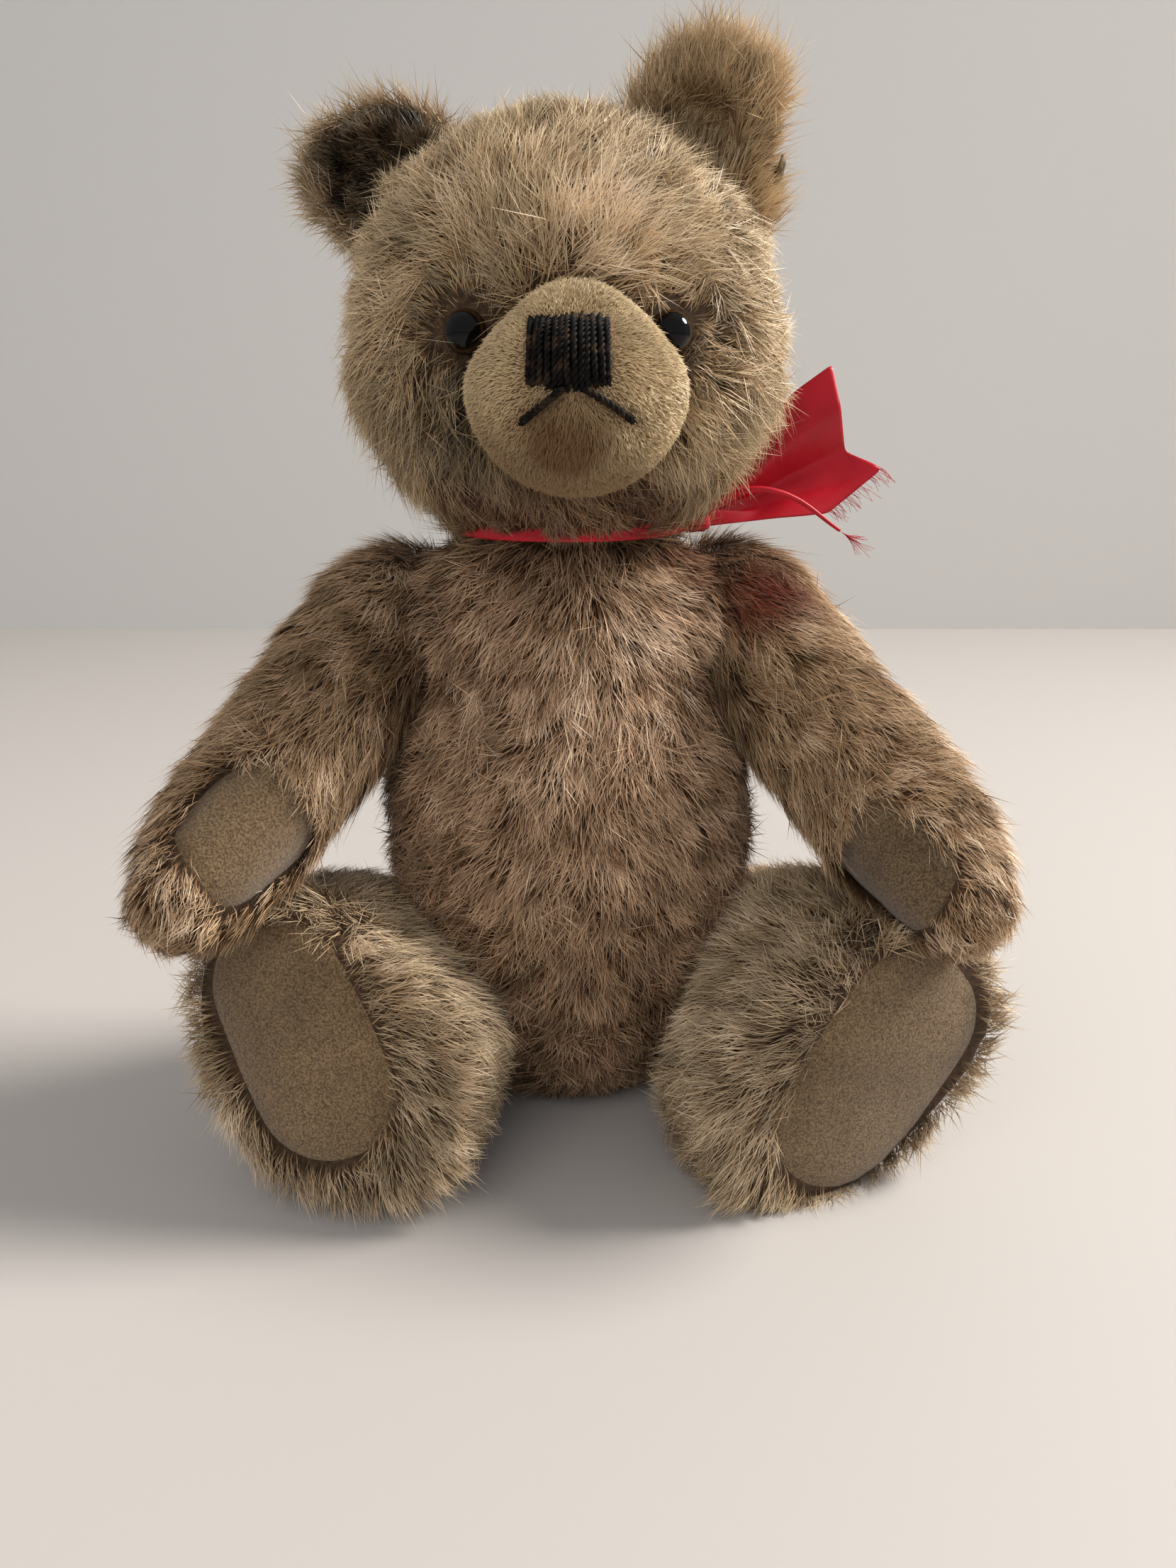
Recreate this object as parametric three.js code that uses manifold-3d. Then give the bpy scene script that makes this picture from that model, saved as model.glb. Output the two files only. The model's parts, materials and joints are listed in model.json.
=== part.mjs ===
// A jointed mohair teddy bear that sits with its legs apart. Millimetres, +Z up. The bear faces -Y, its left
// side is +X, and the origin is the middle of the flat that it sits on.
// Six stuffed pieces (torso, head, arms and legs) each have a sewn cover and a wood wool filling. They turn on
// five hardboard disc joints: a split pin through the two covers, with a disc and a washer inside each one.

import * as THREE from 'three';
import { mergeVertices } from 'three/addons/utils/BufferGeometryUtils.js';
import Module from 'manifold-3d';

const wasm = await Module();
wasm.setup();

// ---- Driving dimensions -------------------------------------------------------------------------------------

const GAP = 0.3; // clearance between neighbouring pieces
const FILLING_GAP = 0.6; // clearance between a cover and its filling
const COVER = 2.2; // mohair backing with the close roots of its pile
const PAD = 1.5; // felt of the paws and soles
const PAD_SUNK = 0.3; // how far the felt lies below the mohair's close roots

const SEAT_Z = 0; // the flat that the torso sits on
const NECK_Z = 139; // middle of the joint between torso and head

const SLIVER = 0.01; // edges shorter than this are left out of a cut surface

const JOINT_GAP = 0.2; // from the middle of a joint to each cover
const DISC = 2.4; // hardboard disc, thickness
const WASHER = 0.8;
const WASHER_RADIUS = 4.2;
const PIN_HOLE = 1.7; // radius of the holes that the split pin goes through
const PIN_WIRE = 0.6; // radius of the wire that the split pin is folded from
const POCKET_DEPTH = 13; // hollow in the filling behind a joint, from the middle of the joint
const PIN_POCKET = 6; // radius of that hollow round the ends of the pin

// Each joint: its middle, the angle its axis rises outwards, the angle it points back, and its discs' radius.
// A hip also has the angle that its foot is rolled outwards.
const SHOULDER_RIGHT = { at: [31, 2, 114], rise: 19, back: 7, disc: 9 };
const SHOULDER_LEFT = { at: [31, 2, 114], rise: 24, back: 7, disc: 9 };
const HIP_RIGHT = { at: [26, -2, 26], rise: -8, back: 14, roll: 16, disc: 11 };
const HIP_LEFT = { at: [26, -2, 26], rise: -10, back: 21, roll: 21, disc: 11 };
const NECK = { at: [0, 0, NECK_Z], disc: 13 };

// How far each limb is turned forwards from hanging straight down, and the head to its left.
const SWING = { arm_right: 48, arm_left: 39, leg_right: 7, leg_left: 1 };
const HEAD_TURN = 2;
const HEAD_RANGE = 45; // how far the head turns each way inside the ribbon
const TURN_STEP = 15;
const TURN_ROOM = 0.6; // clearance between the turning head and the ribbon

const rad = THREE.MathUtils.degToRad;
const vec = (x, y, z) => new THREE.Vector3(x, y, z);

// ---- Materials ----------------------------------------------------------------------------------------------

const finish = (color, roughness, metalness = 0) => () =>
  new THREE.MeshStandardMaterial({ color, roughness, metalness });

const mohair = finish(0x9c8468, 0.95);
const earMohair = finish(0x7d6148, 0.95);
const muzzlePile = finish(0xc9ab84, 0.9);
const felt = finish(0x85705a, 0.95);
const woodWool = finish(0xd9c08e, 0.9);
const hardboard = finish(0x6f4d30, 0.8);
const steel = finish(0x9a9c9e, 0.4, 0.9);
const blackThread = finish(0x17120f, 0.7);
const glass = finish(0x1c120a, 0.08);
const bronze = finish(0x6a5530, 0.4, 0.9);
const satin = finish(0xb50f1c, 0.4);

// ---- Solids -------------------------------------------------------------------------------------------------

// A closed geometry as a solid that can be joined and cut.
function solidOf(geometry) {
  const bare = geometry.clone();
  bare.deleteAttribute('normal');
  bare.deleteAttribute('uv');
  const merged = mergeVertices(bare, 1e-4);
  const mesh = new wasm.Mesh({
    numProp: 3,
    vertProperties: new Float32Array(merged.attributes.position.array),
    triVerts: new Uint32Array(merged.index.array),
  });
  return new wasm.Manifold(mesh);
}

function geometryOf(solid) {
  const mesh = solid.simplify(SLIVER).getMesh();
  const geometry = new THREE.BufferGeometry();
  geometry.setAttribute('position', new THREE.BufferAttribute(mesh.vertProperties, 3));
  geometry.setIndex(new THREE.BufferAttribute(mesh.triVerts, 1));
  geometry.computeVertexNormals();
  return geometry;
}

function piece(name, shape, material) {
  const geometry = shape.isBufferGeometry ? shape : geometryOf(shape);
  const mesh = new THREE.Mesh(geometry, material());
  mesh.name = name;
  return mesh;
}

// Turns +Z to a direction and moves the origin to a point.
function facing(direction, at = vec(0, 0, 0)) {
  const turn = new THREE.Quaternion().setFromUnitVectors(vec(0, 0, 1), direction.clone().normalize());
  return new THREE.Matrix4().compose(at, turn, vec(1, 1, 1));
}

// Everything on the far side of a plane: what a flat is cut with.
function beyond(at, direction, from = 0) {
  const size = 300;
  const block = new THREE.BoxGeometry(size, size, size).translate(0, 0, size / 2 + from);
  return solidOf(block.applyMatrix4(facing(direction, at)));
}

// A round bar along a direction, from one distance to another.
function bar(radius, from, to, direction, at, sides = 16) {
  const geometry = new THREE.CylinderGeometry(radius, radius, to - from, sides);
  geometry.rotateX(Math.PI / 2).translate(0, 0, (from + to) / 2);
  return solidOf(geometry.applyMatrix4(facing(direction, at)));
}

// A flat outline, pushed through along +Z from one height to another.
function prism(outline, from, to) {
  const geometry = new THREE.ExtrudeGeometry(outline, { depth: to - from, bevelEnabled: false, curveSegments: 6 });
  return geometry.translate(0, 0, from);
}

// A round section with a few sides, for wire and cord.
function roundSection(radius, sides) {
  const outline = new THREE.Shape();
  for (let i = 0; i < sides; i += 1) {
    const angle = (i / sides) * 2 * Math.PI;
    const point = [radius * Math.cos(angle), radius * Math.sin(angle)];
    if (i === 0) outline.moveTo(...point);
    else outline.lineTo(...point);
  }
  return outline;
}

// A stuffed form: oval rings threaded on a spine, closed at both ends. Each knot is a point of the spine with
// the ring's half width along X and its half width across. A low bluntness gives full, blunt ends.
function stuffed(knots, { inset = 0, blunt = 0.55, around = 20, along = 14 } = {}) {
  const spine = new THREE.CatmullRomCurve3(knots.map(([x, y, z]) => vec(x, y, z)), false, 'centripetal');
  const girth = new THREE.CatmullRomCurve3(knots.map(([, , , wide, deep], i) => vec(wide, deep, i * 20)));
  const shortened = Math.max(0, inset) / spine.getLength();
  const geometry = new THREE.SphereGeometry(1, around, along);
  const place = geometry.attributes.position;
  const side = vec(1, 0, 0);
  for (let i = 0; i < place.count; i += 1) {
    const unit = vec().fromBufferAttribute(place, i);
    const ring = Math.hypot(unit.x, unit.z);
    const reach = THREE.MathUtils.lerp(shortened, 1 - shortened, (1 - unit.y) / 2);
    const across = spine.getTangent(reach).cross(side).normalize();
    const { x: wide, y: deep } = girth.getPoint(reach);
    const full = ring > 1e-6 ? ring ** blunt / ring : 0;
    const point = spine.getPoint(reach);
    point.addScaledVector(side, unit.x * full * (wide - inset));
    point.addScaledVector(across, unit.z * full * (deep - inset));
    place.setXYZ(i, point.x, point.y, point.z);
  }
  return solidOf(geometry);
}

// An egg-shaped form about a point, with its own half widths.
function oval([x, y, z], [wide, deep, tall], { inset = 0, around = 20, along = 14 } = {}) {
  const geometry = new THREE.SphereGeometry(1, around, along).rotateX(Math.PI / 2);
  return solidOf(geometry.scale(wide - inset, deep - inset, tall - inset).translate(x, y, z));
}

// ---- Placing limbs --------------------------------------------------------------------------------------------

// A limb's own frame has its joint at the origin and the joint's axis along +X, outwards. The right side is the
// left side mirrored.
function limbFrame(joint, side, swing = 0) {
  const frame = new THREE.Group();
  frame.position.set(...joint.at);
  frame.rotation.set(rad(-swing), rad(-joint.rise), rad(joint.back), 'ZYX');
  const mirror = new THREE.Group();
  mirror.scale.x = side;
  mirror.add(frame);
  mirror.updateMatrixWorld(true);
  return { mirror, frame };
}

function jointAxis(joint, side) {
  const { frame } = limbFrame(joint, side);
  const middle = vec(0, 0, 0).applyMatrix4(frame.matrixWorld);
  const axis = vec(1, 0, 0).applyMatrix4(frame.matrixWorld).sub(middle);
  return { middle, axis, disc: joint.disc };
}

const BODY_JOINTS = {
  shoulder_right: jointAxis(SHOULDER_RIGHT, -1),
  shoulder_left: jointAxis(SHOULDER_LEFT, 1),
  hip_right: jointAxis(HIP_RIGHT, -1),
  hip_left: jointAxis(HIP_LEFT, 1),
  neck: { middle: vec(...NECK.at), axis: vec(0, 0, 1), disc: NECK.disc },
};

// ---- Disc joints ----------------------------------------------------------------------------------------------

function ring(radius, hole, from, to, sides) {
  const profile = [
    new THREE.Vector2(hole, from),
    new THREE.Vector2(radius, from),
    new THREE.Vector2(radius, to),
    new THREE.Vector2(hole, to),
    new THREE.Vector2(hole, from),
  ];
  return new THREE.LatheGeometry(profile, sides).rotateX(Math.PI / 2);
}

// The hollow in a cover and its filling behind a joint: wide for the disc, then narrow for the end of the pin.
// Depths run from the middle of the joint, against the direction that points out of the cover.
function jointPocket({ middle, axis, disc }) {
  const inwards = axis.clone().negate();
  const discFrom = JOINT_GAP + COVER;
  const wide = bar(disc + GAP, discFrom, discFrom + DISC + 2 * GAP, inwards, middle, 14);
  return wide.add(bar(PIN_POCKET, discFrom + GAP, POCKET_DEPTH, inwards, middle, 12));
}

// A split pin: one wire folded into an eye, with its two legs side by side and their ends curled outwards.
function splitPin() {
  const leg = PIN_WIRE + 0.08;
  const curl = 1.7;
  const head = JOINT_GAP + COVER + DISC + WASHER + 3 * GAP + PIN_WIRE;
  const bend = head + curl + 0.3;
  const half = [
    vec(0, 0, -head - 4.2),
    vec(1.5, 0, -head - 3.5),
    vec(2, 0, -head - 2),
    vec(1.4, 0, -head - 0.6),
    vec(leg, 0, -head + 1.2),
    vec(leg, 0, -head / 2),
    vec(leg, 0, head / 2),
    vec(leg, 0, bend - 0.8),
    vec(leg + 0.35 * curl, 0, bend + 0.8 * curl),
    vec(leg + 1.5 * curl, 0, bend + 0.8 * curl),
    vec(leg + 2 * curl, 0, bend - 0.2),
    vec(leg + 1.5 * curl, 0, bend - 0.7 * curl),
  ];
  const other = half.slice(1).reverse().map((point) => vec(-point.x, 0, point.z));
  const wire = new THREE.CatmullRomCurve3([...other, ...half], false, 'centripetal');
  return new THREE.ExtrudeGeometry(roundSection(PIN_WIRE, 4), { steps: 26, bevelEnabled: false, extrudePath: wire });
}

// The hardware on one side of a joint, along +Z from the middle of the joint.
function discAndWasher(name, disc) {
  const discFrom = JOINT_GAP + COVER + GAP;
  const washerFrom = discFrom + DISC + GAP;
  return [
    piece(`${name}_disc`, ring(disc, PIN_HOLE, discFrom, discFrom + DISC, 14), hardboard),
    piece(`${name}_washer`, ring(WASHER_RADIUS, PIN_HOLE, washerFrom, washerFrom + WASHER, 10), steel),
  ];
}

// ---- Torso ----------------------------------------------------------------------------------------------------

const TORSO_KNOTS = [
  [0, 7, -7, 17, 15],
  [0, 5, 2, 24, 20],
  [0, 2, 14, 32, 27],
  [0, -1, 34, 37, 34],
  [0, -3, 58, 39, 37],
  [0, -3, 78, 39, 36],
  [0, -1, 98, 37.5, 33],
  [0, 0, 122, 37, 31],
  [0, 0, 148, 24, 23],
];

function torsoForm(inset, around, along) {
  let form = stuffed(TORSO_KNOTS, { inset, blunt: 0.5, around, along });
  form = form.subtract(beyond(vec(0, 0, SEAT_Z), vec(0, 0, -1), -inset));
  for (const { middle, axis } of Object.values(BODY_JOINTS)) {
    form = form.subtract(beyond(middle, axis, -JOINT_GAP - inset));
  }
  return form;
}

function torso() {
  let cover = torsoForm(0, 20, 13).subtract(torsoForm(COVER, 12, 8));
  let filling = torsoForm(COVER + FILLING_GAP, 12, 8);
  const group = new THREE.Group();
  for (const [name, joint] of Object.entries(BODY_JOINTS)) {
    cover = cover.subtract(bar(PIN_HOLE, -POCKET_DEPTH, 2, joint.axis, joint.middle, 10));
    cover = cover.subtract(jointPocket(joint));
    filling = filling.subtract(jointPocket(joint));
    const hardware = new THREE.Group();
    hardware.add(...discAndWasher(`${name}_body`, joint.disc));
    hardware.applyMatrix4(facing(joint.axis.clone().negate(), joint.middle));
    const pin = piece(`${name}_pin`, splitPin(), steel);
    pin.applyMatrix4(facing(joint.axis, joint.middle));
    group.add(hardware, pin);
  }
  group.add(piece('torso_cover', cover, mohair), piece('torso_filling', filling, woodWool));
  return group;
}

// ---- Arms -----------------------------------------------------------------------------------------------------

// Hanging straight down from the shoulder, with the paw turned a little forwards and outwards.
const ARM_KNOTS = [
  [10, 2, 17, 14, 13],
  [11, 1, 2, 17.5, 17],
  [13, -1, -24, 16.5, 16.5],
  [16, -1, -48, 14.5, 15.5],
  [18, -4, -68, 15.5, 16.5],
  [20, -9, -94, 13.5, 14.5],
];
const ARM_BEARING = 34;
const PAW = {
  middle: vec(14, -18, -71),
  out: vec(-0.35, -0.86, -0.38),
  roll: 25,
  halfWidth: 11.5,
  halfLength: 13.5,
  round: 6,
};

// The flat on a limb's inner face, which reaches as far round the joint as the limb lies along the torso.
function bearingFlat(reach, inset) {
  return bar(reach + inset, -40, JOINT_GAP + inset, vec(1, 0, 0), vec(0, 0, 0), 20);
}

function armForm(inset, around, along) {
  return stuffed(ARM_KNOTS, { inset, around, along }).subtract(bearingFlat(ARM_BEARING, inset));
}

function roundedOutline(halfWidth, halfLength, round) {
  const outline = new THREE.Shape();
  outline.absarc(halfWidth - round, halfLength - round, round, 0, Math.PI / 2);
  outline.absarc(-halfWidth + round, halfLength - round, round, Math.PI / 2, Math.PI);
  outline.absarc(-halfWidth + round, -halfLength + round, round, Math.PI, 1.5 * Math.PI);
  outline.absarc(halfWidth - round, -halfLength + round, round, 1.5 * Math.PI, 2 * Math.PI);
  return outline;
}

// A prism with the outline of the paw pad, grown by an amount, that faces out of the paw.
function pawPrism(grown) {
  const outline = roundedOutline(PAW.halfWidth + grown, PAW.halfLength + grown, PAW.round + grown);
  const axes = new THREE.Matrix4().lookAt(PAW.out, vec(0, 0, 0), vec(0, 0, 1)).setPosition(PAW.middle);
  return solidOf(prism(outline, -9, 12).rotateZ(rad(PAW.roll)).applyMatrix4(axes));
}

// Felt that follows the round of the paw, a little below the mohair.
function pawPad() {
  const layer = armForm(PAD_SUNK, 15, 10).subtract(armForm(PAD_SUNK + PAD, 10, 7));
  return layer.intersect(pawPrism(-GAP));
}

function limbJoint(disc) {
  return { middle: vec(0, 0, 0), axis: vec(-1, 0, 0), disc };
}

// The cover, pad, filling and joint hardware of a limb, in the limb's own frame.
function limb(name, { form, padPrism, pad, padName, disc }) {
  const shell = form(0, 15, 10).subtract(form(COVER, 10, 7));
  const joint = limbJoint(disc);
  const pinHole = bar(PIN_HOLE, -4, 6, vec(1, 0, 0), vec(0, 0, 0), 10);
  const cover = shell.subtract(padPrism(0)).subtract(pinHole).subtract(jointPocket(joint));
  const filling = form(COVER + FILLING_GAP, 10, 7).subtract(jointPocket(joint));
  const hardware = new THREE.Group();
  hardware.add(...discAndWasher(name, disc));
  hardware.rotation.y = Math.PI / 2;
  const group = new THREE.Group();
  group.add(
    piece(`${name}_cover`, cover, mohair),
    piece(`${name}_filling`, filling, woodWool),
    piece(padName, pad, felt),
    hardware,
  );
  return group;
}

function arm(name, shoulder, side, padName) {
  const { mirror, frame } = limbFrame(shoulder, side, SWING[name]);
  frame.add(limb(name, { form: armForm, padPrism: pawPrism, pad: pawPad(), padName, disc: shoulder.disc }));
  return mirror;
}

// ---- Legs -----------------------------------------------------------------------------------------------------

// Pointing forwards from the hip, with the toes up.
const LEG_KNOTS = [
  [12, 21, 0, 15, 17],
  [12.5, 4, 0, 19, 22],
  [13.5, -16, -0.5, 19.5, 24.5],
  [12, -38, 0, 22.5, 26],
  [13, -58, 4, 24, 33],
  [14, -84, 6, 22, 31],
];
const LEG_BEARING = 47;
const SOLE_Y = -61;
const SOLE = { middle: vec(14, SOLE_Y, 5.5), halfWidth: 15, halfLength: 25, round: 14.5 };

function legForm(roll) {
  const turned = new THREE.Matrix4().makeRotationY(rad(roll));
  return (inset, around, along) => {
    const form = stuffed(LEG_KNOTS, { inset, blunt: 0.42, around, along });
    const flat = form.subtract(beyond(vec(0, SOLE_Y, 0), vec(0, -1, 0), -inset));
    return aboutLeg(flat, turned).subtract(bearingFlat(LEG_BEARING, inset));
  };
}

// Turns a solid about the long axis of the leg.
function aboutLeg(solid, turn) {
  return solid.translate(-SOLE.middle.x, 0, 0).transform([...turn.elements]).translate(SOLE.middle.x, 0, 0);
}

// A prism with the outline of the sole, grown by an amount, between two depths below the flat of the sole.
function solePrism(roll, grown, from, to) {
  const outline = roundedOutline(SOLE.halfWidth + grown, SOLE.halfLength + grown, SOLE.round + grown);
  const { x, y, z } = SOLE.middle;
  const through = prism(outline, -to, -from).rotateX(Math.PI / 2).translate(x, y, z);
  return aboutLeg(solidOf(through), new THREE.Matrix4().makeRotationY(rad(roll)));
}

function leg(name, hip, side, padName) {
  const { mirror, frame } = limbFrame(hip, side, SWING[name]);
  const pad = solePrism(hip.roll, -GAP, PAD_SUNK, PAD_SUNK + PAD);
  const padPrism = () => solePrism(hip.roll, 0, -5, 8);
  frame.add(limb(name, { form: legForm(hip.roll), padPrism, pad, padName, disc: hip.disc }));
  return mirror;
}

// ---- Head -----------------------------------------------------------------------------------------------------

// The head's own frame has the middle of the neck joint at its origin.
const HEAD_KNOTS = [
  [0, 0, -10, 17, 17],
  [0, 0, 0, 26, 26],
  [0, -1, 12, 35, 33],
  [0, -3, 28, 44.5, 38],
  [0, -3, 44, 44, 38.5],
  [0, -2, 60, 41, 36],
  [0, -1, 73, 35, 31],
  [0, 0, 84, 26, 24],
];
const BROW = { middle: [0, -3, 36], half: [43.5, 38, 44] }; // the round of the face that the eyes sit in
const MUZZLE = { middle: [1.5, -38, 29], half: [20.3, 23.5, 17.8] };
const EYE = { x: 19.5, z: 38.7, radius: 4.2, shank: 0.9 };
const NOSE = { width: 14.6, height: 12, x: -0.5, z: 34.2 };
const MOUTH = { thread: 1.2, x: -0.8, z: 27.3, right: { length: 8.5, drop: 35 }, left: { length: 12, drop: 23 } };

function muzzleForm(grown, around = 18, along = 12) {
  return oval(MUZZLE.middle, MUZZLE.half, { inset: -grown, around, along });
}

function headForm(inset, around, along) {
  const form = stuffed(HEAD_KNOTS, { inset, blunt: 0.5, around, along });
  return form.subtract(beyond(vec(0, 0, 0), vec(0, 0, -1), -JOINT_GAP - inset));
}

// The direction that an eye looks in, and the point of the brow under it.
function eyeSeat(side) {
  const across = EYE.x * side;
  const [wide, deep, tall] = BROW.half;
  const up = EYE.z - BROW.middle[2];
  const forward = deep * Math.sqrt(1 - (across / wide) ** 2 - (up / tall) ** 2);
  const at = vec(across, BROW.middle[1] - forward, EYE.z);
  return { at, out: vec(across / wide ** 2, -forward / deep ** 2, up / tall ** 2).normalize() };
}

// A glass eye: a low dome with a flat back, on a shank that goes through the cover.
function eyeGlass() {
  const profile = [new THREE.Vector2(0, -6), new THREE.Vector2(EYE.shank, -6), new THREE.Vector2(EYE.shank, -1.2)];
  profile.push(new THREE.Vector2(EYE.radius, -1.2));
  for (let i = 0; i <= 6; i += 1) {
    const angle = (i / 6) * (Math.PI / 2);
    profile.push(new THREE.Vector2(EYE.radius * Math.cos(angle), 3.4 * Math.sin(angle)));
  }
  profile[profile.length - 1].x = 0;
  return new THREE.LatheGeometry(profile, 12).rotateX(Math.PI / 2);
}

// Thread that lies on the muzzle: a layer over its cover with the outline given, seen from the front.
function stitched(outline, thickness, x, z, turn = 0) {
  const through = prism(outline, 0, 45).rotateZ(rad(turn)).rotateX(Math.PI / 2).translate(x, -40, z);
  return muzzleForm(GAP + thickness).subtract(muzzleForm(GAP)).intersect(solidOf(through));
}

function mouthStitch(side, { length, drop }) {
  const outline = new THREE.Shape();
  const half = MOUTH.thread / 2;
  outline.moveTo(0, -half);
  outline.lineTo(length, -half);
  outline.lineTo(length, half);
  outline.lineTo(0, half);
  const turn = side > 0 ? -drop : 180 + drop;
  return stitched(outline, 1, MOUTH.x + side * 0.9, MOUTH.z, turn);
}

// An ear: a thick round flap, hollowed in front, whose lower edge is sewn to the head.
const EARS = {
  ear_right: { at: [-36, -1, 72], turn: [8, -36, -8], half: [15.5, 5.5, 15.5] },
  ear_left: { at: [30.5, -1, 76], turn: [8, 26, -30], half: [16, 5.5, 18] },
};
const EAR_DISH = { forward: 4.6, half: [11.2, 5.2, 11.2], up: 1 };
const STUD = { radius: 3.1, at: [15.3, 0.7, 3], out: [0.93, 0.34, 0.1] };

function earFrame({ at, turn }) {
  const frame = new THREE.Group();
  frame.position.set(...at);
  frame.rotation.set(...turn.map(rad), 'ZYX');
  frame.updateMatrixWorld(true);
  return frame.matrixWorld;
}

function earForm({ at, turn, half }) {
  const flap = oval([0, 0, 0], half, { around: 14, along: 9 });
  const dish = oval([0, -EAR_DISH.forward, EAR_DISH.up], EAR_DISH.half, { around: 12, along: 7 });
  const frame = earFrame({ at, turn });
  return flap.subtract(dish).transform([...frame.elements]).subtract(headForm(-GAP, 20, 13));
}

// A plain domed stud with a short shank into the ear.
function studGeometry() {
  const profile = [
    new THREE.Vector2(0, -2.2),
    new THREE.Vector2(0.7, -2.2),
    new THREE.Vector2(0.7, 0),
    new THREE.Vector2(STUD.radius, 0),
    new THREE.Vector2(STUD.radius, 0.35),
    new THREE.Vector2(STUD.radius * 0.75, 1),
    new THREE.Vector2(STUD.radius * 0.4, 1.3),
    new THREE.Vector2(0, 1.4),
  ];
  return new THREE.LatheGeometry(profile, 12).rotateX(Math.PI / 2);
}

function head() {
  const group = new THREE.Group();
  group.position.set(...NECK.at);
  group.rotation.z = rad(HEAD_TURN);
  let cover = headForm(0, 20, 13).subtract(headForm(COVER, 12, 8)).subtract(muzzleForm(GAP));
  let muzzle = muzzleForm(0).subtract(muzzleForm(-COVER, 12, 8)).subtract(headForm(COVER, 12, 8));
  let filling = headForm(COVER + FILLING_GAP, 12, 8).add(muzzleForm(-COVER - FILLING_GAP, 12, 8));
  cover = cover.subtract(bar(PIN_HOLE, -2, POCKET_DEPTH, vec(0, 0, 1), vec(0, 0, 0), 10));
  filling = filling.subtract(jointPocket({ middle: vec(0, 0, 0), axis: vec(0, 0, -1), disc: NECK.disc }));
  for (const [name, side] of [['eye_right', -1], ['eye_left', 1]]) {
    const { at, out } = eyeSeat(side);
    const seat = bar(EYE.radius + GAP, -1.5, 6, out, at).add(bar(EYE.shank + GAP, -6.4, 0, out, at, 10));
    cover = cover.subtract(seat);
    muzzle = muzzle.subtract(seat);
    filling = filling.subtract(seat);
    const eye = piece(name, eyeGlass(), glass);
    eye.applyMatrix4(facing(out, at));
    group.add(eye);
  }
  const hardware = new THREE.Group();
  hardware.add(...discAndWasher('head', NECK.disc));
  group.add(hardware);
  for (const [name, ear] of Object.entries(EARS)) {
    let form = earForm(ear);
    if (name === 'ear_left') {
      const stud = facing(vec(...STUD.out), vec(...STUD.at)).premultiply(earFrame(ear));
      const at = vec(0, 0, 0).applyMatrix4(stud);
      const out = vec(0, 0, 1).transformDirection(stud);
      form = form.subtract(bar(STUD.radius + GAP, -GAP, 12, out, at)).subtract(bar(1, -2.5, 2, out, at, 10));
      const mesh = piece('ear_stud', studGeometry(), bronze);
      mesh.applyMatrix4(stud);
      group.add(mesh);
    }
    group.add(piece(name, form, earMohair));
  }
  const nose = roundedOutline(NOSE.width / 2, NOSE.height / 2, 1.5);
  group.add(
    piece('head_cover', cover, mohair),
    piece('head_filling', filling, woodWool),
    piece('muzzle_cover', muzzle, muzzlePile),
    piece('nose_stitching', stitched(nose, 1.4, NOSE.x, NOSE.z), blackThread),
    piece('mouth_stitch_right', mouthStitch(-1, MOUTH.right), blackThread),
    piece('mouth_stitch_left', mouthStitch(1, MOUTH.left), blackThread),
  );
  return group;
}

// ---- Neck ribbon ----------------------------------------------------------------------------------------------

// One strip of satin: a band in the groove under the head, a knot on the bear's left, one open tail that stands
// out with a crease along it, and one tail that is rolled thin and ends in a small tassel.
const BAND = { inner: 21.4, outer: 24.6, low: 137.9, high: 141.4 };
const KNOT = { at: [29, -1, 140.5], half: [5.5, 4.5, 3.2] };
const TAIL_CLOTH = 0.7;
const TAIL_ROLL = 0.8;
const CREASE_END = [62, 8, 153];

function band() {
  const profile = [
    new THREE.Vector2(BAND.inner, (BAND.low + BAND.high) / 2 - 0.4),
    new THREE.Vector2(BAND.outer, BAND.low),
    new THREE.Vector2(BAND.outer + 0.6, (BAND.low + BAND.high) / 2),
    new THREE.Vector2(BAND.outer, BAND.high),
    new THREE.Vector2(BAND.inner, (BAND.low + BAND.high) / 2 + 0.4),
    new THREE.Vector2(BAND.inner, (BAND.low + BAND.high) / 2 - 0.4),
  ];
  return solidOf(new THREE.LatheGeometry(profile, 24).rotateX(Math.PI / 2));
}

// A flat panel of cloth between corner points that lie near one upright plane.
function panel(corners) {
  const outline = new THREE.Shape(corners.map(([x, , z]) => new THREE.Vector2(x, z)));
  const sheet = new THREE.ExtrudeGeometry(outline, { depth: TAIL_CLOTH, bevelEnabled: false });
  const [a, b, c] = [corners[0], corners[1], corners[2]].map((corner) => vec(...corner));
  const normal = b.clone().sub(a).cross(c.clone().sub(a));
  const place = sheet.attributes.position;
  for (let i = 0; i < place.count; i += 1) {
    const x = place.getX(i);
    const z = place.getY(i);
    const back = a.y - (normal.x * (x - a.x) + normal.z * (z - a.z)) / normal.y;
    place.setXYZ(i, x, back - place.getZ(i), z);
  }
  return solidOf(sheet);
}

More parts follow.
